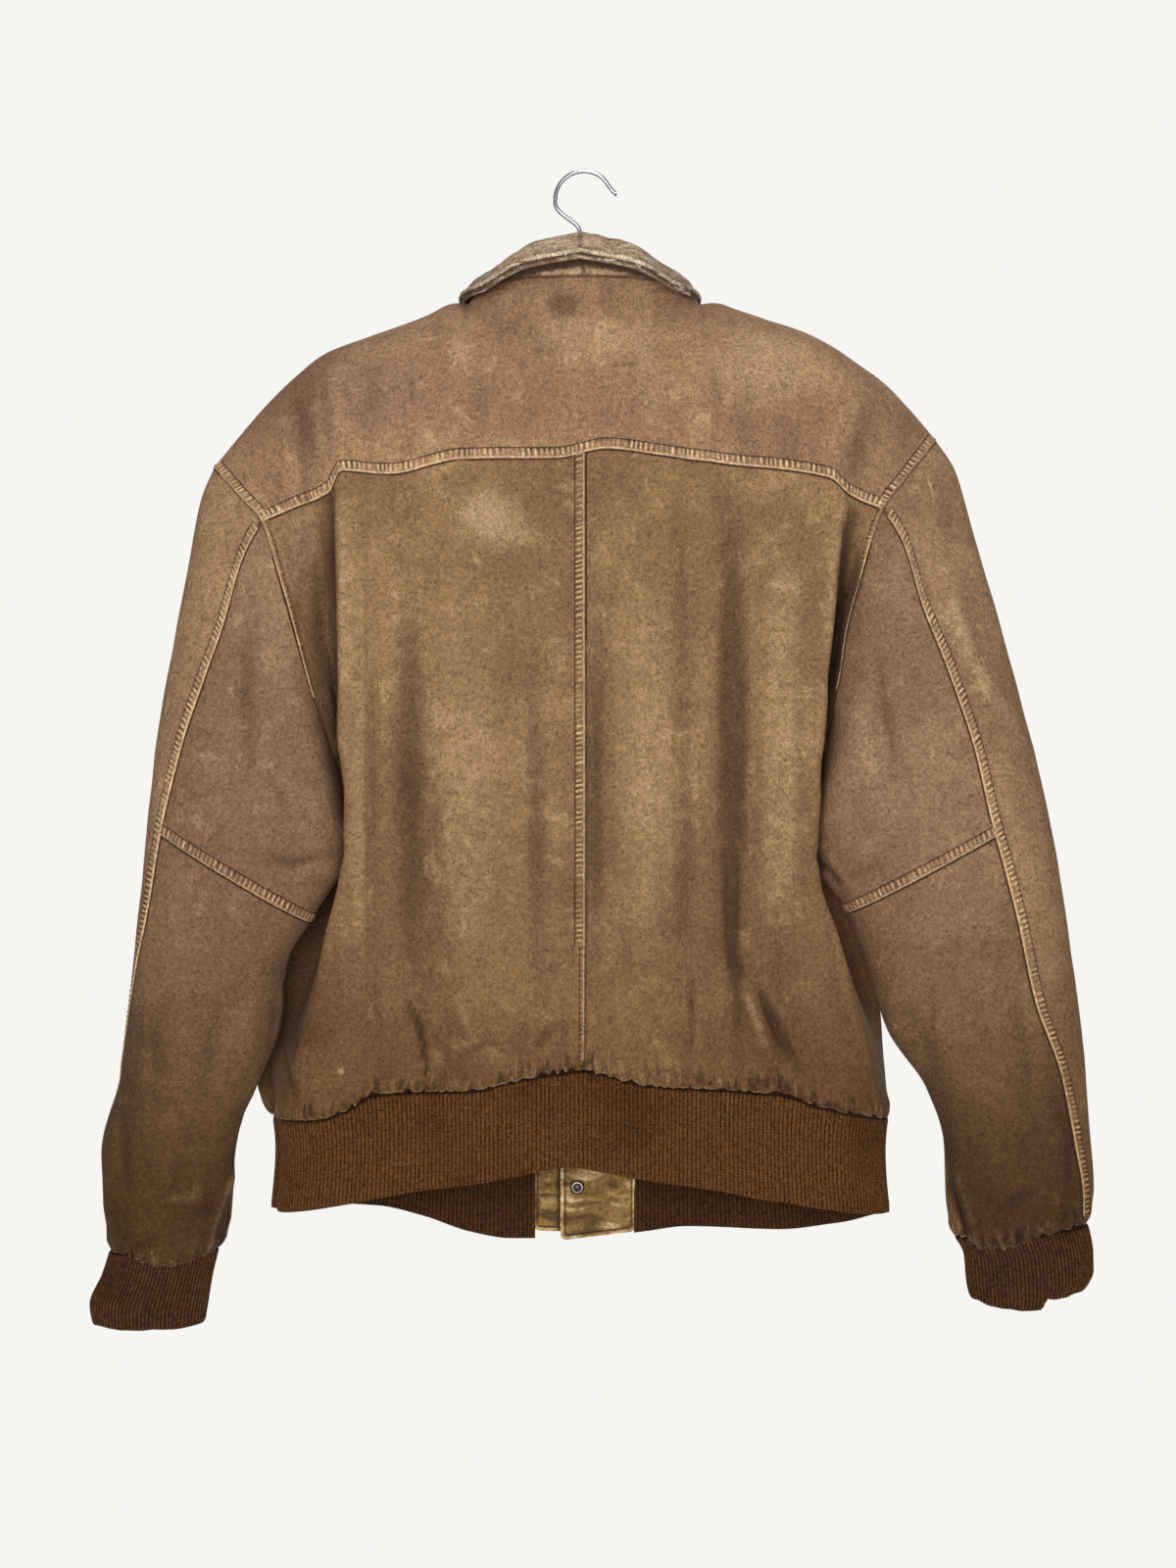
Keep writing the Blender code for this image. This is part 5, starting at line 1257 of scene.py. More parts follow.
def make_tabs(leathers, seam_lines, made):
    """The two folded leather ends of the waistband."""
    for name, spec in TABS.items():
        shares = np.linspace(0, 1, TAB_COLUMNS)
        grid = np.array([[(mix(spec["from_x"], spec["to_x"], c), spec["y"],
                           -mix(TAB_TOP_DOWN, mix(spec["from_down"], spec["to_down"], c), d)) for c in shares]
                         for d in np.linspace(0, 1, TAB_ROWS)])
        panel = Panel(grid, BODY_AXIS)
        far = panel.border_distance()
        first, last, foot = (panel.distance(border) for border in ("first", "last", "bottom"))
        for beside, towards in ((first, 1), (last, -1)):        # rounds the two lower corners
            a, b = np.clip(1 - beside / TAB_CORNER, 0, 1), np.clip(1 - foot / TAB_CORNER, 0, 1)
            inwards = (1 - np.maximum(a, b) / np.maximum(np.hypot(a, b), 1e-6)) * (np.minimum(a, b) > 0)
            panel.grid[..., 0] += towards * TAB_CORNER * a * inwards
            panel.grid[..., 2] += TAB_CORNER * b * inwards
        edges = np.minimum(far / (2.2 * MM), 1)
        spots = grid + 0.004 * soft_noise(grid, (0.012, 0.01, 0.012), 93)[..., None]
        panel.lift(-0.8 * MM * soft_noise(spots, (0.016, 0.01, 0.0035), 95 + len(name)) * edges, -4.5)
        panel.lift(0.3 * MM * soft_noise(grid, (0.003, 0.01, 0.003), 96) * edges, -1.5)
        panel.lift(-0.5 * MM * (1 - edges) ** 2, 0.2)
        panel.lift(-0.4 * MM * np.exp(-((far - 1.5 * MM) / (1.1 * MM)) ** 2), -9)
        panel.lift(0.4 * MM * np.exp(-((far - 3.5 * MM) / (0.5 * MM)) ** 2), -15)
        # the far tab is painted darker as shade, with a painted shadow line where the near tab's edge lies
        # over it
        if name == "overlap":
            panel.crease = panel.crease - 1.0 - 8 * np.exp(-((grid[..., 0] + 19 * MM) / (1.1 * MM)) ** 2)
        sewing = Sewing()
        sewing.wall(*both_faces(panel, TAB_LEATHER), inside=0, crease=panel.crease,
                    border=panel.border_distance(), drop=1.0)
        node = f"waist_tab_{name}"
        made.append((sewing.make(f"{node}_leather", [leathers["tab"]], 60), node, []))
        for border in BORDERS:
            points, normals = stitch_line(panel, border, TAB_STITCH_INSET, 0.05)
            seam_lines.append((points - normals * (TAB_LEATHER + STITCH_PROUD), -normals))


def both_faces(panel, thickness):
    """A doubled piece: outer and inner face with the same soft relief, and rounded edges."""
    edges = np.minimum(panel.border_distance() / (1.6 * MM), 1)
    inner = panel.grid - panel.normal * (thickness - 0.5 * MM * (1 - edges) ** 2)[..., None]
    if winds_outwards(panel.grid, panel.normal):
        return panel.grid, inner
    return panel.grid[:, ::-1], inner[:, ::-1]


def make_placket(leathers, seam_lines, made):
    """A strip over the closing edge of the fronts, from the neck to the waistband."""
    xs = np.linspace(PLACKET_LEFT_X, PLACKET_RIGHT_X, PLACKET_COLUMNS)
    alongs = np.linspace(FRONT_ALONGS[3], 0.995, PLACKET_ROWS)
    fronts = np.array([closing_row(xs, a) for a in alongs])
    grid = fronts + normals_of(fronts, BODY_AXIS) * (LEATHER + 1.5 * SEAM_GAP)
    panel = Panel(grid, BODY_AXIS)
    panel.wear_in()
    made.append(leather_piece("front_placket", panel, LEATHER, leathers["front"], leathers["inside"], [],
                              seam_lines))
    for border in ("first", "last"):
        points, normals = stitch_line(panel, border, PLACKET_STITCH_INSET, 0.01)
        seam_lines.append((points + normals * STITCH_PROUD, normals))


# ---------------------------------------------------------------- metal
TURNED_STEPS = 48


def turned(name, profile, place, towards_back, finish):
    """A round metal piece from a profile of (radius, height, brightness), which runs from the middle of
    its top to its base."""
    angles = np.linspace(0, 2 * np.pi, TURNED_STEPS, endpoint=False)
    grid = np.array([[(r * np.cos(a), r * np.sin(a), h) for a in angles] for r, h, _ in profile])
    sewing = Sewing()
    index = sewing.add_points(grid, crease=profile[:, 2:])
    sewing.add_faces(np.concatenate([index, index[:, :1]], axis=1)[:, ::-1], None)
    made = sewing.make(name, [finish], 35)
    made.location = place
    made.rotation_euler = (math.radians(90 if towards_back else -90), 0, 0)
    return made


def rounded(profile, rounds):
    """Cuts the corners of a profile, which leaves its two ends where they are."""
    points = np.array(profile, dtype=float)
    for _ in range(rounds):
        first, second = mix(points[:-1], points[1:], 0.25), mix(points[:-1], points[1:], 0.75)
        cut = np.stack([first, second], axis=1).reshape(-1, points.shape[1])
        points = np.concatenate([points[:1], cut, points[-1:]])
    return points


def make_snaps(metal, made):
    """The tab's snap: a ring inside and a cap outside, and the placket's caps."""
    hole, radius, height = SNAP_HOLE_RADIUS, SNAP_RING_RADIUS, SNAP_RING_HEIGHT
    ring = rounded([
        (0.0001, 0.55 * height, 0.3), (0.3 * hole, 0.55 * height, 0.3), (0.45 * hole, 0.32 * height, 0.1),
        (0.92 * hole, 0.3 * height, 0), (hole, 0.5 * height, 0), (1.1 * hole, height, 0.1),
        (0.6 * radius, height, 0.2), (0.7 * radius, height, 1), (0.77 * radius, 0.9 * height, 0.6),
        (0.82 * radius, 0.5 * height, 0), (0.9 * radius, 0.7 * height, 0), (radius, 0.5 * height, 0.15),
        (radius, 0, 0), (0.6 * radius, 0, 0)], 2)
    cap = rounded([(0.0001, CAP_HEIGHT, 0.7), (0.5 * CAP_RADIUS, 0.95 * CAP_HEIGHT, 0.7),
                   (0.86 * CAP_RADIUS, 0.66 * CAP_HEIGHT, 0.6), (CAP_RADIUS, 0.3 * CAP_HEIGHT, 0.3),
                   (CAP_RADIUS, 0, 0), (0.7 * CAP_RADIUS, 0, 0)], 3)
    inside = TABS["underlap"]["y"] - TAB_LEATHER - SEAM_GAP
    outside = TABS["overlap"]["y"] + SEAM_GAP
    snaps = [("snap_ring", ring, (SNAP_X, inside, -SNAP_DOWN), True),
             ("snap_cap", cap, (SNAP_X, outside, -SNAP_DOWN), False)]
    for i, along in enumerate(np.linspace(0.16, 0.93, PLACKET_SNAPS)):
        under = closing_row(SNAP_X + np.array([-1, 0, 1]) * CAP_RADIUS, along)
        place = (SNAP_X, under[:, 1].max() + LEATHER + 3 * SEAM_GAP, under[1, 2])
        snaps.append((f"placket_snap_{i + 1}", cap, place, False))
    for node, profile, place, towards_back in snaps:
        made.append((turned(f"{node}_turned", profile, place, towards_back, metal), node, []))


def in_hook_plane(rows):
    """Points of a table in the plane y = 0, where the hook lies."""
    return [(x, 0, -down) for x, down in zip(rows["x"], rows["down"])]


def shoulder_wire(side):
    """One arm under the shoulder, its rounded end, and half of the lower bar."""
    xs = np.linspace(HANGER_ARM_START, HANGER_REACH, 10)
    crest = read(SHOULDER[side], "x", np.maximum(xs, SHOULDER[side]["x"][0]), "down")
    lead = ease((xs - 85 * MM) / (45 * MM))
    under = HANGER_UNDER_SHOULDER * np.hypot(1, np.gradient(crest, xs))
    down = mix(HANGER_NECK_DOWN + HANGER_ARM_SLOPE * (xs - HANGER_ARM_START), crest + under, lead)
    arm = [(side * x, 0, -d) for x, d in zip(xs, down)]
    slope = math.atan2(down[-1] - down[-2], xs[-1] - xs[-2])
    radius = (HANGER_BAR_DOWN - down[-1]) / (1 + math.cos(slope))
    centre_x, centre_down = xs[-1] - radius * math.sin(slope), HANGER_BAR_DOWN - radius
    bend = [(side * (centre_x + radius * math.sin(a)), 0, radius * math.cos(a) - centre_down)
            for a in np.linspace(slope, math.pi, 7)[1:]]
    bar = [(side * x, 0, -HANGER_BAR_DOWN) for x in (0.66 * HANGER_REACH, 0.33 * HANGER_REACH, 6 * MM)]
    return arm + bend + bar


def make_hanger(wire, made):
    """Hook tip, over the top, down the stem, out and round the shoulders, back beside the stem."""
    radius = HOOK_RADIUS + WIRE / 2
    arc = [(radius * math.sin(math.radians(a)), 0, WIRE / 2 - radius + radius * math.cos(math.radians(a)))
           for a in HOOK_ARC]
    stem = in_hook_plane(HOOK_STEM)
    neck = (HOOK_STEM["x"][-1], 0, -HANGER_NECK_DOWN + HANGER_NECK_GAP)
    left, right = (shoulder_wire(side) for side in (LEFT, RIGHT))
    beside = (HOOK_STEM["x"][-1] + WIRE + 0.4 * MM, 0, neck[2] + HANGER_END_RISE)
    path = in_hook_plane(HOOK_TIP) + arc + stem + [neck] + left + right[::-1] + [
        (beside[0] + 1 * MM, 0, neck[2]), beside]
    curve = bpy.data.curves.new("hanger_wire", "CURVE")
    curve.dimensions = "3D"
    curve.bevel_depth = WIRE / 2
    curve.bevel_resolution = 6
    curve.use_fill_caps = True
    spline = curve.splines.new("POLY")
    points = smoothed_path(np.array(path))
    spline.points.add(len(points) - 1)
    for slot, point in zip(spline.points, points):
        slot.co = (*point, 1)
    spline.points[0].radius = spline.points[1].radius = 1.3
    spline.use_smooth = True
    curve.materials.append(wire)
    hanger = bpy.data.objects.new("hanger_wire", curve)
    bpy.context.scene.collection.objects.link(hanger)
    made.append((hanger, "hanger", []))


def smoothed_path(path):
    """A Catmull-Rom curve through the path's points, four points to a stretch."""
    ends = np.concatenate([[2 * path[0] - path[1]], path, [2 * path[-1] - path[-2]]])
    points = []
    for a, b, c, d in zip(ends, ends[1:], ends[2:], ends[3:]):
        span = np.linalg.norm(c - b)
        before, after = max(np.linalg.norm(b - a), 1e-6), max(np.linalg.norm(d - c), 1e-6)
        lean_b, lean_c = (c - a) * span / (before + span), (d - b) * span / (span + after)
        for t in (0, 0.25, 0.5, 0.75):
            points.append((2 * t ** 3 - 3 * t * t + 1) * b + (t ** 3 - 2 * t * t + t) * lean_b
                          + (3 * t * t - 2 * t ** 3) * c + (t ** 3 - t * t) * lean_c)
    return np.array(points + [path[-1]])


# ---------------------------------------------------------------- finishes
def fill(tree, node, inputs):
    """Sets or links a node's inputs, given by name, by number or in their order."""
    for slot, value in (inputs.items() if isinstance(inputs, dict) else enumerate(inputs)):
        if isinstance(value, bpy.types.NodeSocket):
            tree.links.new(value, node.inputs[slot])
        elif value is not None:
            node.inputs[slot].default_value = value


def put(tree, kind, inputs=(), output=0, **settings):
    """Adds a node, sets or links its inputs, and gives back one of its outputs."""
    made = tree.nodes.new(kind)
    for name, value in settings.items():
        setattr(made, name, value)
    fill(tree, made, inputs)
    return made.outputs[output]


def new_finish(name):
    """A material, its nodes and its shader."""
    made = bpy.data.materials.new(name)
    made.use_nodes = True
    return made, made.node_tree, made.node_tree.nodes["Principled BSDF"]


def maths(tree, operation, *values):
    return put(tree, "ShaderNodeMath", values, operation=operation)


def times(tree, first, second):
    return maths(tree, "MULTIPLY", first, second)


def blend(tree, share, first, second, how="MIX"):
    return put(tree, "ShaderNodeMix", {0: share, 6: first, 7: second}, 2, data_type="RGBA", blend_type=how)


def ramp(tree, value, low, high, to_low=0.0, to_high=1.0):
    return put(tree, "ShaderNodeMapRange", {0: value, 1: low, 2: high, 3: to_low, 4: to_high},
               interpolation_type="SMOOTHSTEP")


def noise(tree, place, scale, detail, rough=0.55, distortion=0.0):
    return put(tree, "ShaderNodeTexNoise", {"Vector": place, "Scale": scale, "Detail": detail,
                                            "Roughness": rough, "Distortion": distortion})


def bumped(tree, height, strength, distance, normal=None):
    return put(tree, "ShaderNodeBump", {"Strength": strength, "Distance": distance, "Height": height,
                                        "Normal": normal})


def kept(tree, name):
    """A value that Sewing keeps at the points of the mesh."""
    return put(tree, "ShaderNodeAttribute", output=2, attribute_name=name)


def place_in_jacket(tree):
    return put(tree, "ShaderNodeTexCoord", output=3)


def axes(tree):
    """The three coordinates of a place in the jacket's frame, in metres."""
    return put(tree, "ShaderNodeSeparateXYZ", [place_in_jacket(tree)]).node.outputs


def stretched(tree, place, scale):
    return put(tree, "ShaderNodeMapping", {0: place, 3: scale})


def new_group(name, setting, value, outs):
    """A shader node group with one input and named outputs. It gives the group and its ends."""
    group = bpy.data.node_groups.new(name, "ShaderNodeTree")
    made = group.interface.new_socket(setting, in_out="INPUT", socket_type="NodeSocketFloat")
    made.default_value = value
    for socket in outs:
        group.interface.new_socket(socket, in_out="OUTPUT", socket_type="NodeSocketFloat")
    start, end = group.nodes.new("NodeGroupInput"), group.nodes.new("NodeGroupOutput")
    return group, start.outputs, end.inputs


def linear(red, green, blue):
    """A colour given as it looks on a screen, 0 to 255."""
    def one(value):
        value /= 255
        return value / 12.92 if value <= 0.04045 else ((value + 0.055) / 1.055) ** 2.4
    return (one(red), one(green), one(blue), 1)


def darker(colour, share):
    return (*(share * part for part in colour[:3]), 1)


def nap_group():
    """Nubuck: fine nap and pebbled grain, as a height and as a pale and dark fleck."""
    group, ins, outs = new_group("nubuck_nap", "Grain size", 900.0, ["Height", "Fleck"])
    place = place_in_jacket(group)
    fine = noise(group, place, ins["Grain size"], 2.0, 0.6)
    pebble = put(group, "ShaderNodeTexVoronoi", {"Vector": place, "Scale": 620.0, "Randomness": 1.0},
                 feature="SMOOTH_F1")
    soft = noise(group, place, 340.0, 4.0, 0.7)
    height = maths(group, "ADD", times(group, fine, 0.35), times(group, pebble, 0.3))
    height = maths(group, "ADD", height, times(group, soft, 0.6))
    group.links.new(height, outs["Height"])
    group.links.new(maths(group, "SUBTRACT", maths(group, "ADD", fine, soft), 1.0), outs["Fleck"])
    return group


def mottle_group():
    """Uneven dye and handling: broad clouds, smaller blotches and faint streaks down the garment."""
    group, ins, outs = new_group("leather_mottle", "Seed", 0.0, ["Clouds", "Blotches", "Streaks", "Scuffs"])
    shift = put(group, "ShaderNodeCombineXYZ", [ins["Seed"], ins["Seed"], 0.0])
    place = put(group, "ShaderNodeVectorMath", [place_in_jacket(group), shift], operation="ADD")
    group.links.new(noise(group, place, 9.0, 3.0, 0.5), outs["Clouds"])
    group.links.new(noise(group, place, 52.0, 6.0, 0.68, 0.4), outs["Blotches"])
    down = stretched(group, place, (1.0, 1.0, 0.16))
    group.links.new(noise(group, down, 70.0, 4.0, 0.6, 0.3), outs["Streaks"])
    scratch = noise(group, stretched(group, place, (1.0, 1.0, 0.35)), 95.0, 5.0, 0.72, 1.4)
    group.links.new(ramp(group, scratch, 0.62, 0.74), outs["Scuffs"])
    return group


def wear_group():
    """Where the leather is worn pale (ridges and hem edges) with painted highlight on the tops of gathers and
    puckers, where painted shade darkens the troughs, seams and hollows with a little grime at the seams, and
    the small gathers above the knit."""
    group, ins, outs = new_group("leather_wear", "Rubbing and highlight", 1.0, ["Rubbed", "Shade and grime", "Gathers"])
    crease, border, place = kept(group, "crease"), kept(group, "border"), place_in_jacket(group)
    patchy = noise(group, place, 120.0, 4.0, 0.6)
    edge = times(group, ramp(group, border, 0.0014, 0.0002), ramp(group, patchy, 0.35, 0.6, 0.15, 1.0))
    ridge = times(group, ramp(group, crease, 0.4, 2.8), ramp(group, patchy, 0.35, 0.6, 0.3, 0.8))
    near_hem = ramp(group, kept(group, "drop"), 0.024, 0.003)
    gathers = noise(group, stretched(group, place, (1.0, 1.0, 0.22)), 190.0, 2.0, 0.5, 0.3)
    gathers = times(group, maths(group, "SUBTRACT", gathers, 0.5), near_hem)
    worn_and_highlit = maths(group, "MAXIMUM", maths(group, "MAXIMUM", edge, ridge),
                   ramp(group, gathers, 0.05, 0.2, 0.0, 0.5))
    group.links.new(times(group, worn_and_highlit, ins["Rubbing and highlight"]), outs["Rubbed"])
    # painted shade in the troughs and in the hollows of the gathers, with some grime at the seams
    shade_and_grime = maths(group, "MAXIMUM", ramp(group, crease, -0.2, -3.2, 0.0, 0.72),
                  ramp(group, crease, -4, -7, 0.0, 0.95))
    shade_and_grime = maths(group, "MAXIMUM", shade_and_grime, ramp(group, gathers, -0.03, -0.14, 0.0, 0.65))
    group.links.new(shade_and_grime, outs["Shade and grime"])
    group.links.new(gathers, outs["Gathers"])
    return group


SPOT_CORE = 0.25                # share of a mark's reach that has its full strength


def spot(tree, centre, size, slant):
    """A soft ragged mark round a point of the back, seen from behind: size is half its width and height."""
    parts = axes(tree)
    up = maths(tree, "ADD", parts[2], centre[1] * MM)
    across = maths(tree, "SUBTRACT", maths(tree, "MULTIPLY_ADD", up, slant, parts[0]), centre[0] * MM)
    across, up = (maths(tree, "DIVIDE", part, half * MM) for part, half in zip((across, up), size))
    far = maths(tree, "SQRT", maths(tree, "ADD", times(tree, across, across), times(tree, up, up)))
    ragged = maths(tree, "SUBTRACT", noise(tree, place_in_jacket(tree), 900.0 / max(size), 5.0, 0.7), 0.5)
    return ramp(tree, maths(tree, "MULTIPLY_ADD", ragged, 1.3, far), 1.0, SPOT_CORE)


# Marks seen from behind, the later ones over the earlier: x, down, half width and half height in
# millimetres, slant, strength, and whether it is dark, pale or plum.
MARKS = (
    (-13, 107, 17, 15, 0, 0.5, "dark"), (-13, 108, 10, 9, 0, 0.2, "dark"),
    (23, 150.6, 4, 3, 0, 0.35, "dark"), (34, 151, 3.5, 3.5, 0, 0.35, "dark"),
    (141.5, 165.9, 3.5, 3.5, 0, 0.35, "dark"), (-160, 372.4, 4.5, 5, 0, 0.3, "dark"),
    (-63, 261.5, 34, 32, 0.2, 0.5, "pale"), (-172.5, 653, 3.4, 3, 0, 0.6, "pale"),
    (249, 234, 2.2, 15, 0.2, 0.35, "pale"), (229, 310, 28, 26, 0, 0.25, "plum"),
    (72, 74, 30, 18, 0, 0.2, "plum"), (235, 480, 30, 50, 0.3, 0.35, "plum"),
    (-180, 260, 10, 34, -0.4, 0.2, "plum"), (10, 130, 60, 22, 0, 0.2, "pale"),
    (-198, 202, 10, 60, 0, 0.7, "plum"), (-181, 190, 8, 58, 0.12, 0.5, "plum"),
    (130, 150, 55, 40, 0, 0.25, "pale"), (-144, 172, 56, 44, 0, 0.45, "plum"),
    (-204, 275, 18, 50, -0.1, 0.4, "plum"),
)


def fold_shade(tree, side, top, bottom, wide):
    """Painted shade behind a long hanging fold: full at its crest, which runs from top to bottom
    (x, down), and fading away from the middle of the back."""
    parts = axes(tree)
    slope = (bottom[0] - top[0]) / (bottom[1] - top[1])
    wave = noise(tree, place_in_jacket(tree), 18.0, 2.0)
    crest = maths(tree, "MULTIPLY_ADD", parts[2], -slope, (top[0] - slope * top[1]) * MM)
    crest = maths(tree, "MULTIPLY_ADD", maths(tree, "SUBTRACT", wave, 0.5), 3 * MM, crest)
    beyond = maths(tree, "SUBTRACT", times(tree, parts[0], side), crest)
    dark = times(tree, ramp(tree, beyond, 0.0, 0.6 * MM), ramp(tree, beyond, 0.0, wide * MM, 1.0, 0.0))
    level = times(tree, ramp(tree, parts[2], -top[1] * MM, -(top[1] + 12) * MM),
                  ramp(tree, parts[2], -(bottom[1] + 25) * MM, -bottom[1] * MM))
    return times(tree, dark, level)


FOLD_SHADE_AND_STAIN_TONE, SHADE_AND_GRIME_TONE = 0.3, 0.22      # how much of the deep tone's light is left in the painted shade behind folds and in dark stains, and in the painted shade and grime of troughs and seams
PLUM = linear(112, 82, 68)
LOWER_FROM, LOWER_TO = -0.42, -0.78     # heights between which the leather darkens down the garment, painted shade
LIPS = 2.8, 4.2                         # crease values from which the edge of a lap is worn palest, and the tops of its puckers painted palest as highlight


def leather(name, groups, worn, deep, pale, seed, marks=False, rubbing_and_highlight=1.0, low=(0.86, 0.83, 0.78), fold_shades=(),
            crackle=0.0):
    """Worn nubuck in the tones of one piece: its usual colour, its deep one and its worn pale one.
    Low is what its lower part is multiplied by, painted shade that darkens it towards the bottom; the fold
    shades paint shade behind the long hanging folds."""
    made, tree, shader = new_finish(name)
    worn, deep, pale = linear(*worn), linear(*deep), linear(*pale)
    nap = put(tree, "ShaderNodeGroup", node_tree=groups["nap"]).node.outputs
    mottle = put(tree, "ShaderNodeGroup", node_tree=groups["mottle"]).node
    mottle.inputs["Seed"].default_value = seed
    wear = put(tree, "ShaderNodeGroup", node_tree=groups["wear"]).node
    wear.inputs["Rubbing and highlight"].default_value = rubbing_and_highlight
    mottle, wear = mottle.outputs, wear.outputs
    colour = worn
    for pattern, start, full, strength, tone in (
            ("Clouds", 0.36, 0.66, 0.75, deep), ("Blotches", 0.5, 0.7, 0.6, deep),
            ("Blotches", 0.47, 0.3, 0.35, pale), ("Streaks", 0.53, 0.7, 0.55, deep)):
        colour = blend(tree, ramp(tree, mottle[pattern], start, full, 0.0, strength), colour, tone)
    colour = blend(tree, times(tree, mottle["Scuffs"], 0.3), colour, pale)
    # painted shade behind the long hanging folds
    for side, top, bottom, wide, strength in fold_shades:
        share = times(tree, fold_shade(tree, side, top, bottom, wide), strength)
        colour = blend(tree, share, colour, darker(deep, FOLD_SHADE_AND_STAIN_TONE))
    colour = blend(tree, wear["Shade and grime"], colour, darker(deep, SHADE_AND_GRIME_TONE))
    # painted shade: the lower part of the piece darkens towards the bottom
    lower = ramp(tree, axes(tree)[2], LOWER_FROM, LOWER_TO)
    colour = blend(tree, lower, colour, blend(tree, 1.0, colour, (*low, 1), "MULTIPLY"))
    less = tuple(0.6 * part + 0.4 for part in low)
    lips = ramp(tree, kept(tree, "crease"), *LIPS, 0.0, 0.6)
    palest = [min(1.35 * part, 1) for part in pale[:3]]
    for share, tone in ((times(tree, wear["Rubbed"], 0.8), pale[:3]), (lips, palest)):
        tone = blend(tree, lower, (*tone, 1), (*(a * b for a, b in zip(tone, less)), 1))
        colour = blend(tree, share, colour, tone)
    if marks:
        tones = {"dark": darker(deep, FOLD_SHADE_AND_STAIN_TONE), "pale": pale, "plum": PLUM}
        for x, down, wide, high, slant, strength, sort in MARKS:
            share = times(tree, spot(tree, (x, down), (wide, high), slant), strength)
            colour = blend(tree, share, colour, tones[sort])
    if crackle:
        streaks = noise(tree, stretched(tree, place_in_jacket(tree), (0.45, 0.45, 1.8)), 150.0, 6.0, 0.7, 0.5)
        colour = blend(tree, ramp(tree, streaks, 0.5, 0.66, 0.0, 0.8), colour, pale)
        colour = blend(tree, ramp(tree, streaks, 0.47, 0.36, 0.0, 0.8), colour, deep)
        cells = put(tree, "ShaderNodeTexVoronoi", {"Vector": place_in_jacket(tree), "Scale": 420.0},
                    feature="DISTANCE_TO_EDGE")
        colour = blend(tree, times(tree, ramp(tree, cells, 0.12, 0.0), crackle), colour, deep)
    fleck = maths(tree, "MULTIPLY_ADD", nap["Fleck"], 1.9, 1.0)
    colour = blend(tree, 1.0, colour, put(tree, "ShaderNodeCombineColor", [fleck, fleck, fleck]), "MULTIPLY")
    bump = bumped(tree, nap["Height"], 0.55, 0.0006)
    bump = bumped(tree, noise(tree, place_in_jacket(tree), 130.0, 5.0, 0.66, 0.6), 0.8, 0.0012, bump)
    bump = bumped(tree, wear["Gathers"], 1.0, 0.006, bump)
    fill(tree, shader, {
        "Base Color": colour, "Roughness": ramp(tree, mottle["Blotches"], 0.3, 0.7, 0.86, 0.7),
        "Specular IOR Level": 0.21, "Sheen Weight": 0.07, "Sheen Roughness": 0.45,
        "Sheen Tint": (0.9, 0.72, 0.52, 1), "Normal": bump})
    return made


STITCH_ROW = 2.1 * MM           # height of one row of the knit


def knitted(name, colour, high, deep, fuzzy):
    """Rib knit: each rib is a chain of V stitches, painted dark between the ribs as shade and fuzzy on top,
    with a painted shadow under the leather's hem.
    """
    made, tree, shader = new_finish(name)
    around, drop, crest = kept(tree, "around"), kept(tree, "drop"), kept(tree, "crease")
    cell = maths(tree, "FRACT", around)
    side = maths(tree, "ABSOLUTE", maths(tree, "SUBTRACT", cell, 0.5))
    wobble = noise(tree, place_in_jacket(tree), 300.0, 3.0)
    course = maths(tree, "ADD", times(tree, drop, 2 * math.pi / STITCH_ROW), times(tree, side, 5.5))
    loops = maths(tree, "SINE", maths(tree, "ADD", course, times(tree, wobble, 1.6)))
    loops = maths(tree, "MULTIPLY_ADD", loops, 0.5, 0.5)
    fuzz = noise(tree, place_in_jacket(tree), 620.0, 5.0, 0.75)
    broad = noise(tree, place_in_jacket(tree), 16.0, 4.0, 0.6)
    mixed = blend(tree, ramp(tree, wobble, 0.35, 0.65, 0.0, 0.6), colour, high)
    # painted shade between the ribs
    tone = blend(tree, ramp(tree, crest, -0.75, 0.55 + 0.2 * fuzzy), deep, mixed)
    tone = blend(tree, times(tree, times(tree, loops, ramp(tree, crest, -0.4, 0.9)), 0.6 * fuzzy), tone, high)
    tone = blend(tree, ramp(tree, fuzz, 0.48, 0.64, 0.0, 0.75 * fuzzy), tone, high)
    tone = blend(tree, ramp(tree, fuzz, 0.49, 0.38, 0.0, 0.6 * fuzzy), tone, deep)
    tone = blend(tree, ramp(tree, broad, 0.4, 0.7, 0.0, 0.35), tone, deep)
    # painted shadow of the leather's hem along the top of the knit
    hem_shadow = ramp(tree, maths(tree, "MULTIPLY_ADD", wobble, 0.003, drop), 0.0068, 0.005, 0.0, 0.8)
    tone = blend(tree, hem_shadow, tone, darker(deep, 0.2))
    height = maths(tree, "ADD", times(tree, loops, 0.7), times(tree, fuzz, 0.5))
    fill(tree, shader, {
        "Base Color": tone, "Roughness": 0.95, "Specular IOR Level": 0.08, "Sheen Weight": 0.1,
        "Sheen Roughness": 0.5, "Sheen Tint": (0.75, 0.5, 0.34, 1),
        "Normal": bumped(tree, height, 0.8, 0.0007)})
    return made


def metal(name, colour, roughness, dull, dark):
    """Plated or dulled metal with faint smears, dark where no hand or cloth rubs it."""
    made, tree, shader = new_finish(name)
    colour = blend(tree, kept(tree, "crease"), dark, colour)
    smear = noise(tree, stretched(tree, place_in_jacket(tree), (1.0, 1.0, 0.3)), 160.0, 4.0, 0.6)
    tone = blend(tree, ramp(tree, smear, 0.42, 0.7, 0.0, dull), colour, darker(dark, 0.35))
    fine = noise(tree, place_in_jacket(tree), 700.0, 3.0)
    fill(tree, shader, {
        "Base Color": tone, "Roughness": ramp(tree, smear, 0.3, 0.7, roughness, roughness + 0.15),
        "Metallic": 1.0, "Normal": bumped(tree, fine, 0.25, 0.0002)})
    return made


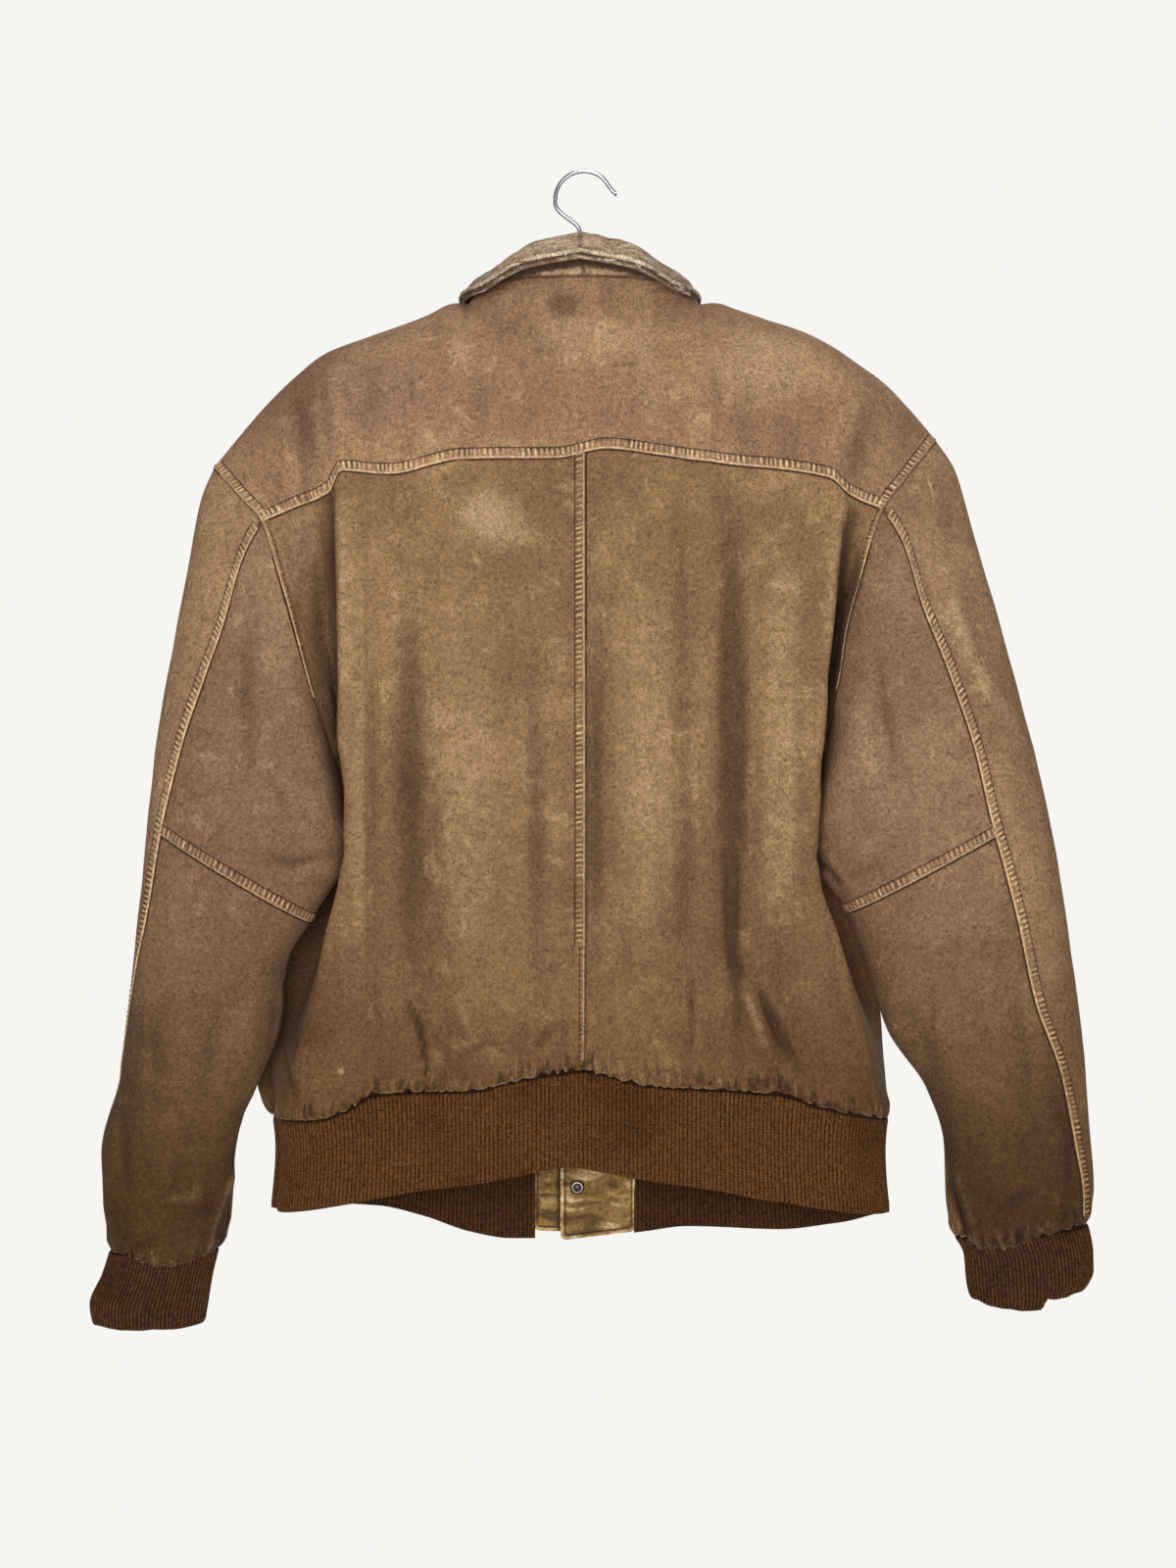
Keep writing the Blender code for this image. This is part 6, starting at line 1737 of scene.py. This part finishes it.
def thread_finish():
    made, tree, shader = new_finish("seam_thread")
    place = place_in_jacket(tree)
    twist = put(tree, "ShaderNodeTexWave", {"Vector": place, "Scale": 900.0, "Distortion": 3.0})
    tone = blend(tree, twist, linear(40, 26, 15), linear(72, 50, 31))
    fill(tree, shader, {"Base Color": tone, "Roughness": 0.8})
    return made


# ---------------------------------------------------------------- the room
FLOOR_BELOW, FLOOR_HALF = 0.85, 1.8
CAMERA_HEIGHT_ANGLE = 38.376
CAMERA_PLACE = (0.0029, -1.655, -0.4486)
SENSOR_HEIGHT = 32.0
# Square lights: name, place, the point that each is aimed at, side and watts.
LIGHTS = (
    ("key", (-0.35, -1.9, -0.35), (0, 0, -0.4), 0.8, 25),
    ("fill", (0.7, -1.8, -0.75), (0, 0, -0.25), 1.4, 11),
    ("top", (0.1, -0.3, 1.3), (0, 0, -0.3), 1.0, 9),
    ("front", (0.6, 2.0, 0.4), (0, 0, -0.45), 1.8, 22),
)


def make_room():
    """A plain pale floor below the hanging jacket, soft studio light and the camera behind its back."""
    scene = bpy.context.scene
    lowest = cad_box[0][2] - FLOOR_BELOW
    mesh = bpy.data.meshes.new("pale_floor")
    corners = [(x * FLOOR_HALF, y * FLOOR_HALF, lowest) for x, y in ((-1, -1), (1, -1), (1, 1), (-1, 1))]
    mesh.from_pydata(corners, [], [(0, 1, 2, 3)])
    floor_finish, tree, shader = new_finish("pale_floor")
    fill(tree, shader, {"Base Color": (0.8, 0.79, 0.77, 1), "Roughness": 0.9})
    mesh.materials.append(floor_finish)
    floor = bpy.data.objects.new("pale_floor", mesh)
    scene.collection.objects.link(floor)

    world = bpy.data.worlds.new("pale_world")
    world.use_nodes = True
    tree = world.node_tree
    background = tree.nodes["Background"]
    seen = put(tree, "ShaderNodeLightPath", output=0)
    tree.links.new(maths(tree, "MULTIPLY_ADD", seen, 0.72, 0.23), background.inputs["Strength"])
    background.inputs["Color"].default_value = (0.97, 0.96, 0.94, 1)
    scene.world = world

    for name, place, aim, size, power in LIGHTS:
        light = bpy.data.lights.new(name, "AREA")
        light.size, light.energy = size, power
        made = bpy.data.objects.new(name, light)
        made.location = place
        look(made, place, aim)
        scene.collection.objects.link(made)

    camera = bpy.data.cameras.new("camera")
    camera.sensor_fit = "VERTICAL"
    camera.sensor_height, camera.sensor_width = SENSOR_HEIGHT, 0.75 * SENSOR_HEIGHT
    camera.lens = SENSOR_HEIGHT / 2 / math.tan(math.radians(CAMERA_HEIGHT_ANGLE) / 2)
    camera.clip_start, camera.clip_end = 0.05, 50
    made = bpy.data.objects.new("camera", camera)
    made.location = CAMERA_PLACE
    made.rotation_euler = (math.radians(90), 0, 0)
    scene.collection.objects.link(made)
    scene.camera = made
    scene.view_settings.view_transform = "Standard"


def look(made, place, aim):
    """Turns a light at a place so that it shines on the point that it is aimed at."""
    x, y, z = np.array(aim, dtype=float) - np.array(place)
    made.rotation_euler = (math.atan2(math.hypot(x, y), -z), 0, math.atan2(y, x) - math.pi / 2)


# ---------------------------------------------------------------- dressing
# Each panel's cut, width and length in millimetres, its share of that rectangle, and how it is held.
for part, cut in {"sleeve_top": (235, 620, 0.70, "hung"), "sleeve_under_upper": (130, 290, 0.68, "hung"),
                  "sleeve_under_lower": (150, 300, 0.74, "hung"), "cuff": (210, 60, 1.0, "gathered"),
                  "collar_stand": (190, 24, 0.94, "folded"), "collar_fall": (250, 50, 0.8, "folded")}.items():
    {f"{part}_{name}": cut for name in SIDE_NAMES.values()}

# The leathers: name, then the usual, the deep and the worn pale tone as they look on a screen, the place in
# the mottling, and what else leather() takes. Fold shades, painted shade behind the folds, are side, top,
# bottom, width and strength.
BACK_FOLD_SHADES = ((LEFT, (176, 232), (174, 431), 20, 0.75), (LEFT, (172, 506), (205, 634), 60, 0.8),
              (RIGHT, (187.5, 246), (168.5, 428), 20, 0.75))
LEATHERS = {
    "yoke": ("yoke_leather", (157, 121, 89), (126, 92, 67), (204, 172, 136), 0.0, {"marks": True}),
    "back": ("back_leather", (143, 110, 76), (112, 82, 54), (192, 160, 120), 1.3,
             {"marks": True, "rubbing_and_highlight": 0.75, "low": (0.39, 0.3, 0.15), "fold_shades": BACK_FOLD_SHADES}),
    "front": ("front_leather", (153, 119, 85), (126, 94, 66), (190, 158, 120), 2.1,
              {"low": (0.6, 0.55, 0.42)}),
    "sleeve": ("sleeve_leather", (156, 122, 89), (127, 95, 68), (198, 166, 128), 3.7,
               {"marks": True, "low": (0.54, 0.46, 0.32)}),
    "under": ("under_sleeve_leather", (143, 111, 82), (115, 85, 62), (186, 152, 118), 5.2,
              {"low": (0.26, 0.2, 0.08)}),
    # the stand's and the fall's tones are made lighter, painted light that offsets the shade the collar lies
    # in; the fall's pale, crackled top is its own
    "stand": ("collar_stand_leather", (208, 172, 138), (168, 133, 102), (226, 200, 168), 6.4, {}),
    "fall": ("collar_fall_leather", (202, 176, 144), (94, 69, 46), (232, 212, 184), 7.5, {"crackle": 0.8}),
    "tab": ("waist_tab_leather", (166, 132, 78), (124, 91, 48), (232, 204, 156), 8.1,
            {"low": (0.9, 0.88, 0.84)}),
    "inside": ("flesh_side_leather", (92, 66, 46), (70, 48, 32), (112, 84, 60), 9.0, {"rubbing_and_highlight": 0.2}),
}


def dress():
    """Makes every piece, hides the imported part that each stands for, and parents it to the root body."""
    groups = {"nap": nap_group(), "mottle": mottle_group(), "wear": wear_group()}
    leathers = {}
    for part, (name, worn, deep, pale, seed, more) in LEATHERS.items():
        leathers[part] = leather(name, groups, worn, deep, pale, seed, **more)
    # the knit's inner face is a darker copy of the knit, painted shade for the inside of the band and the
    # cuffs
    shaded_inner_knit = knitted("rib_knit_inside_shaded", linear(50, 29, 13), linear(92, 60, 34), linear(24, 12, 5), 0.8)
    knit = (knitted("rib_knit", linear(67, 39, 16), linear(120, 78, 40), linear(32, 17, 7), 1.0),
            shaded_inner_knit)
    cuff_knit = (knitted("cuff_rib_knit", linear(53, 32, 15), linear(104, 69, 40), linear(15, 7, 4), 0.45),
                 shaded_inner_knit)
    seam_lines, made = [], []
    made += make_body_and_sleeves(leathers, cuff_knit, seam_lines)
    make_waistband(knit, made)
    make_collar(leathers, seam_lines, made)
    make_tabs(leathers, seam_lines, made)
    make_placket(leathers, seam_lines, made)
    make_snaps(metal("dulled_snap_metal", linear(190, 182, 170), 0.3, 0.3, linear(38, 32, 27)), made)
    make_hanger(metal("bright_wire", linear(205, 207, 208), 0.2, 0.1, linear(205, 207, 208)), made)
    threads = stitches(seam_lines, "seam_stitches", thread_finish())
    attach(threads, "root")
    for piece, node, trims in made:
        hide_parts(node)
        for each in [piece, *trims]:
            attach(each, "root")


make_room()
dress()
bpy.context.view_layer.update()
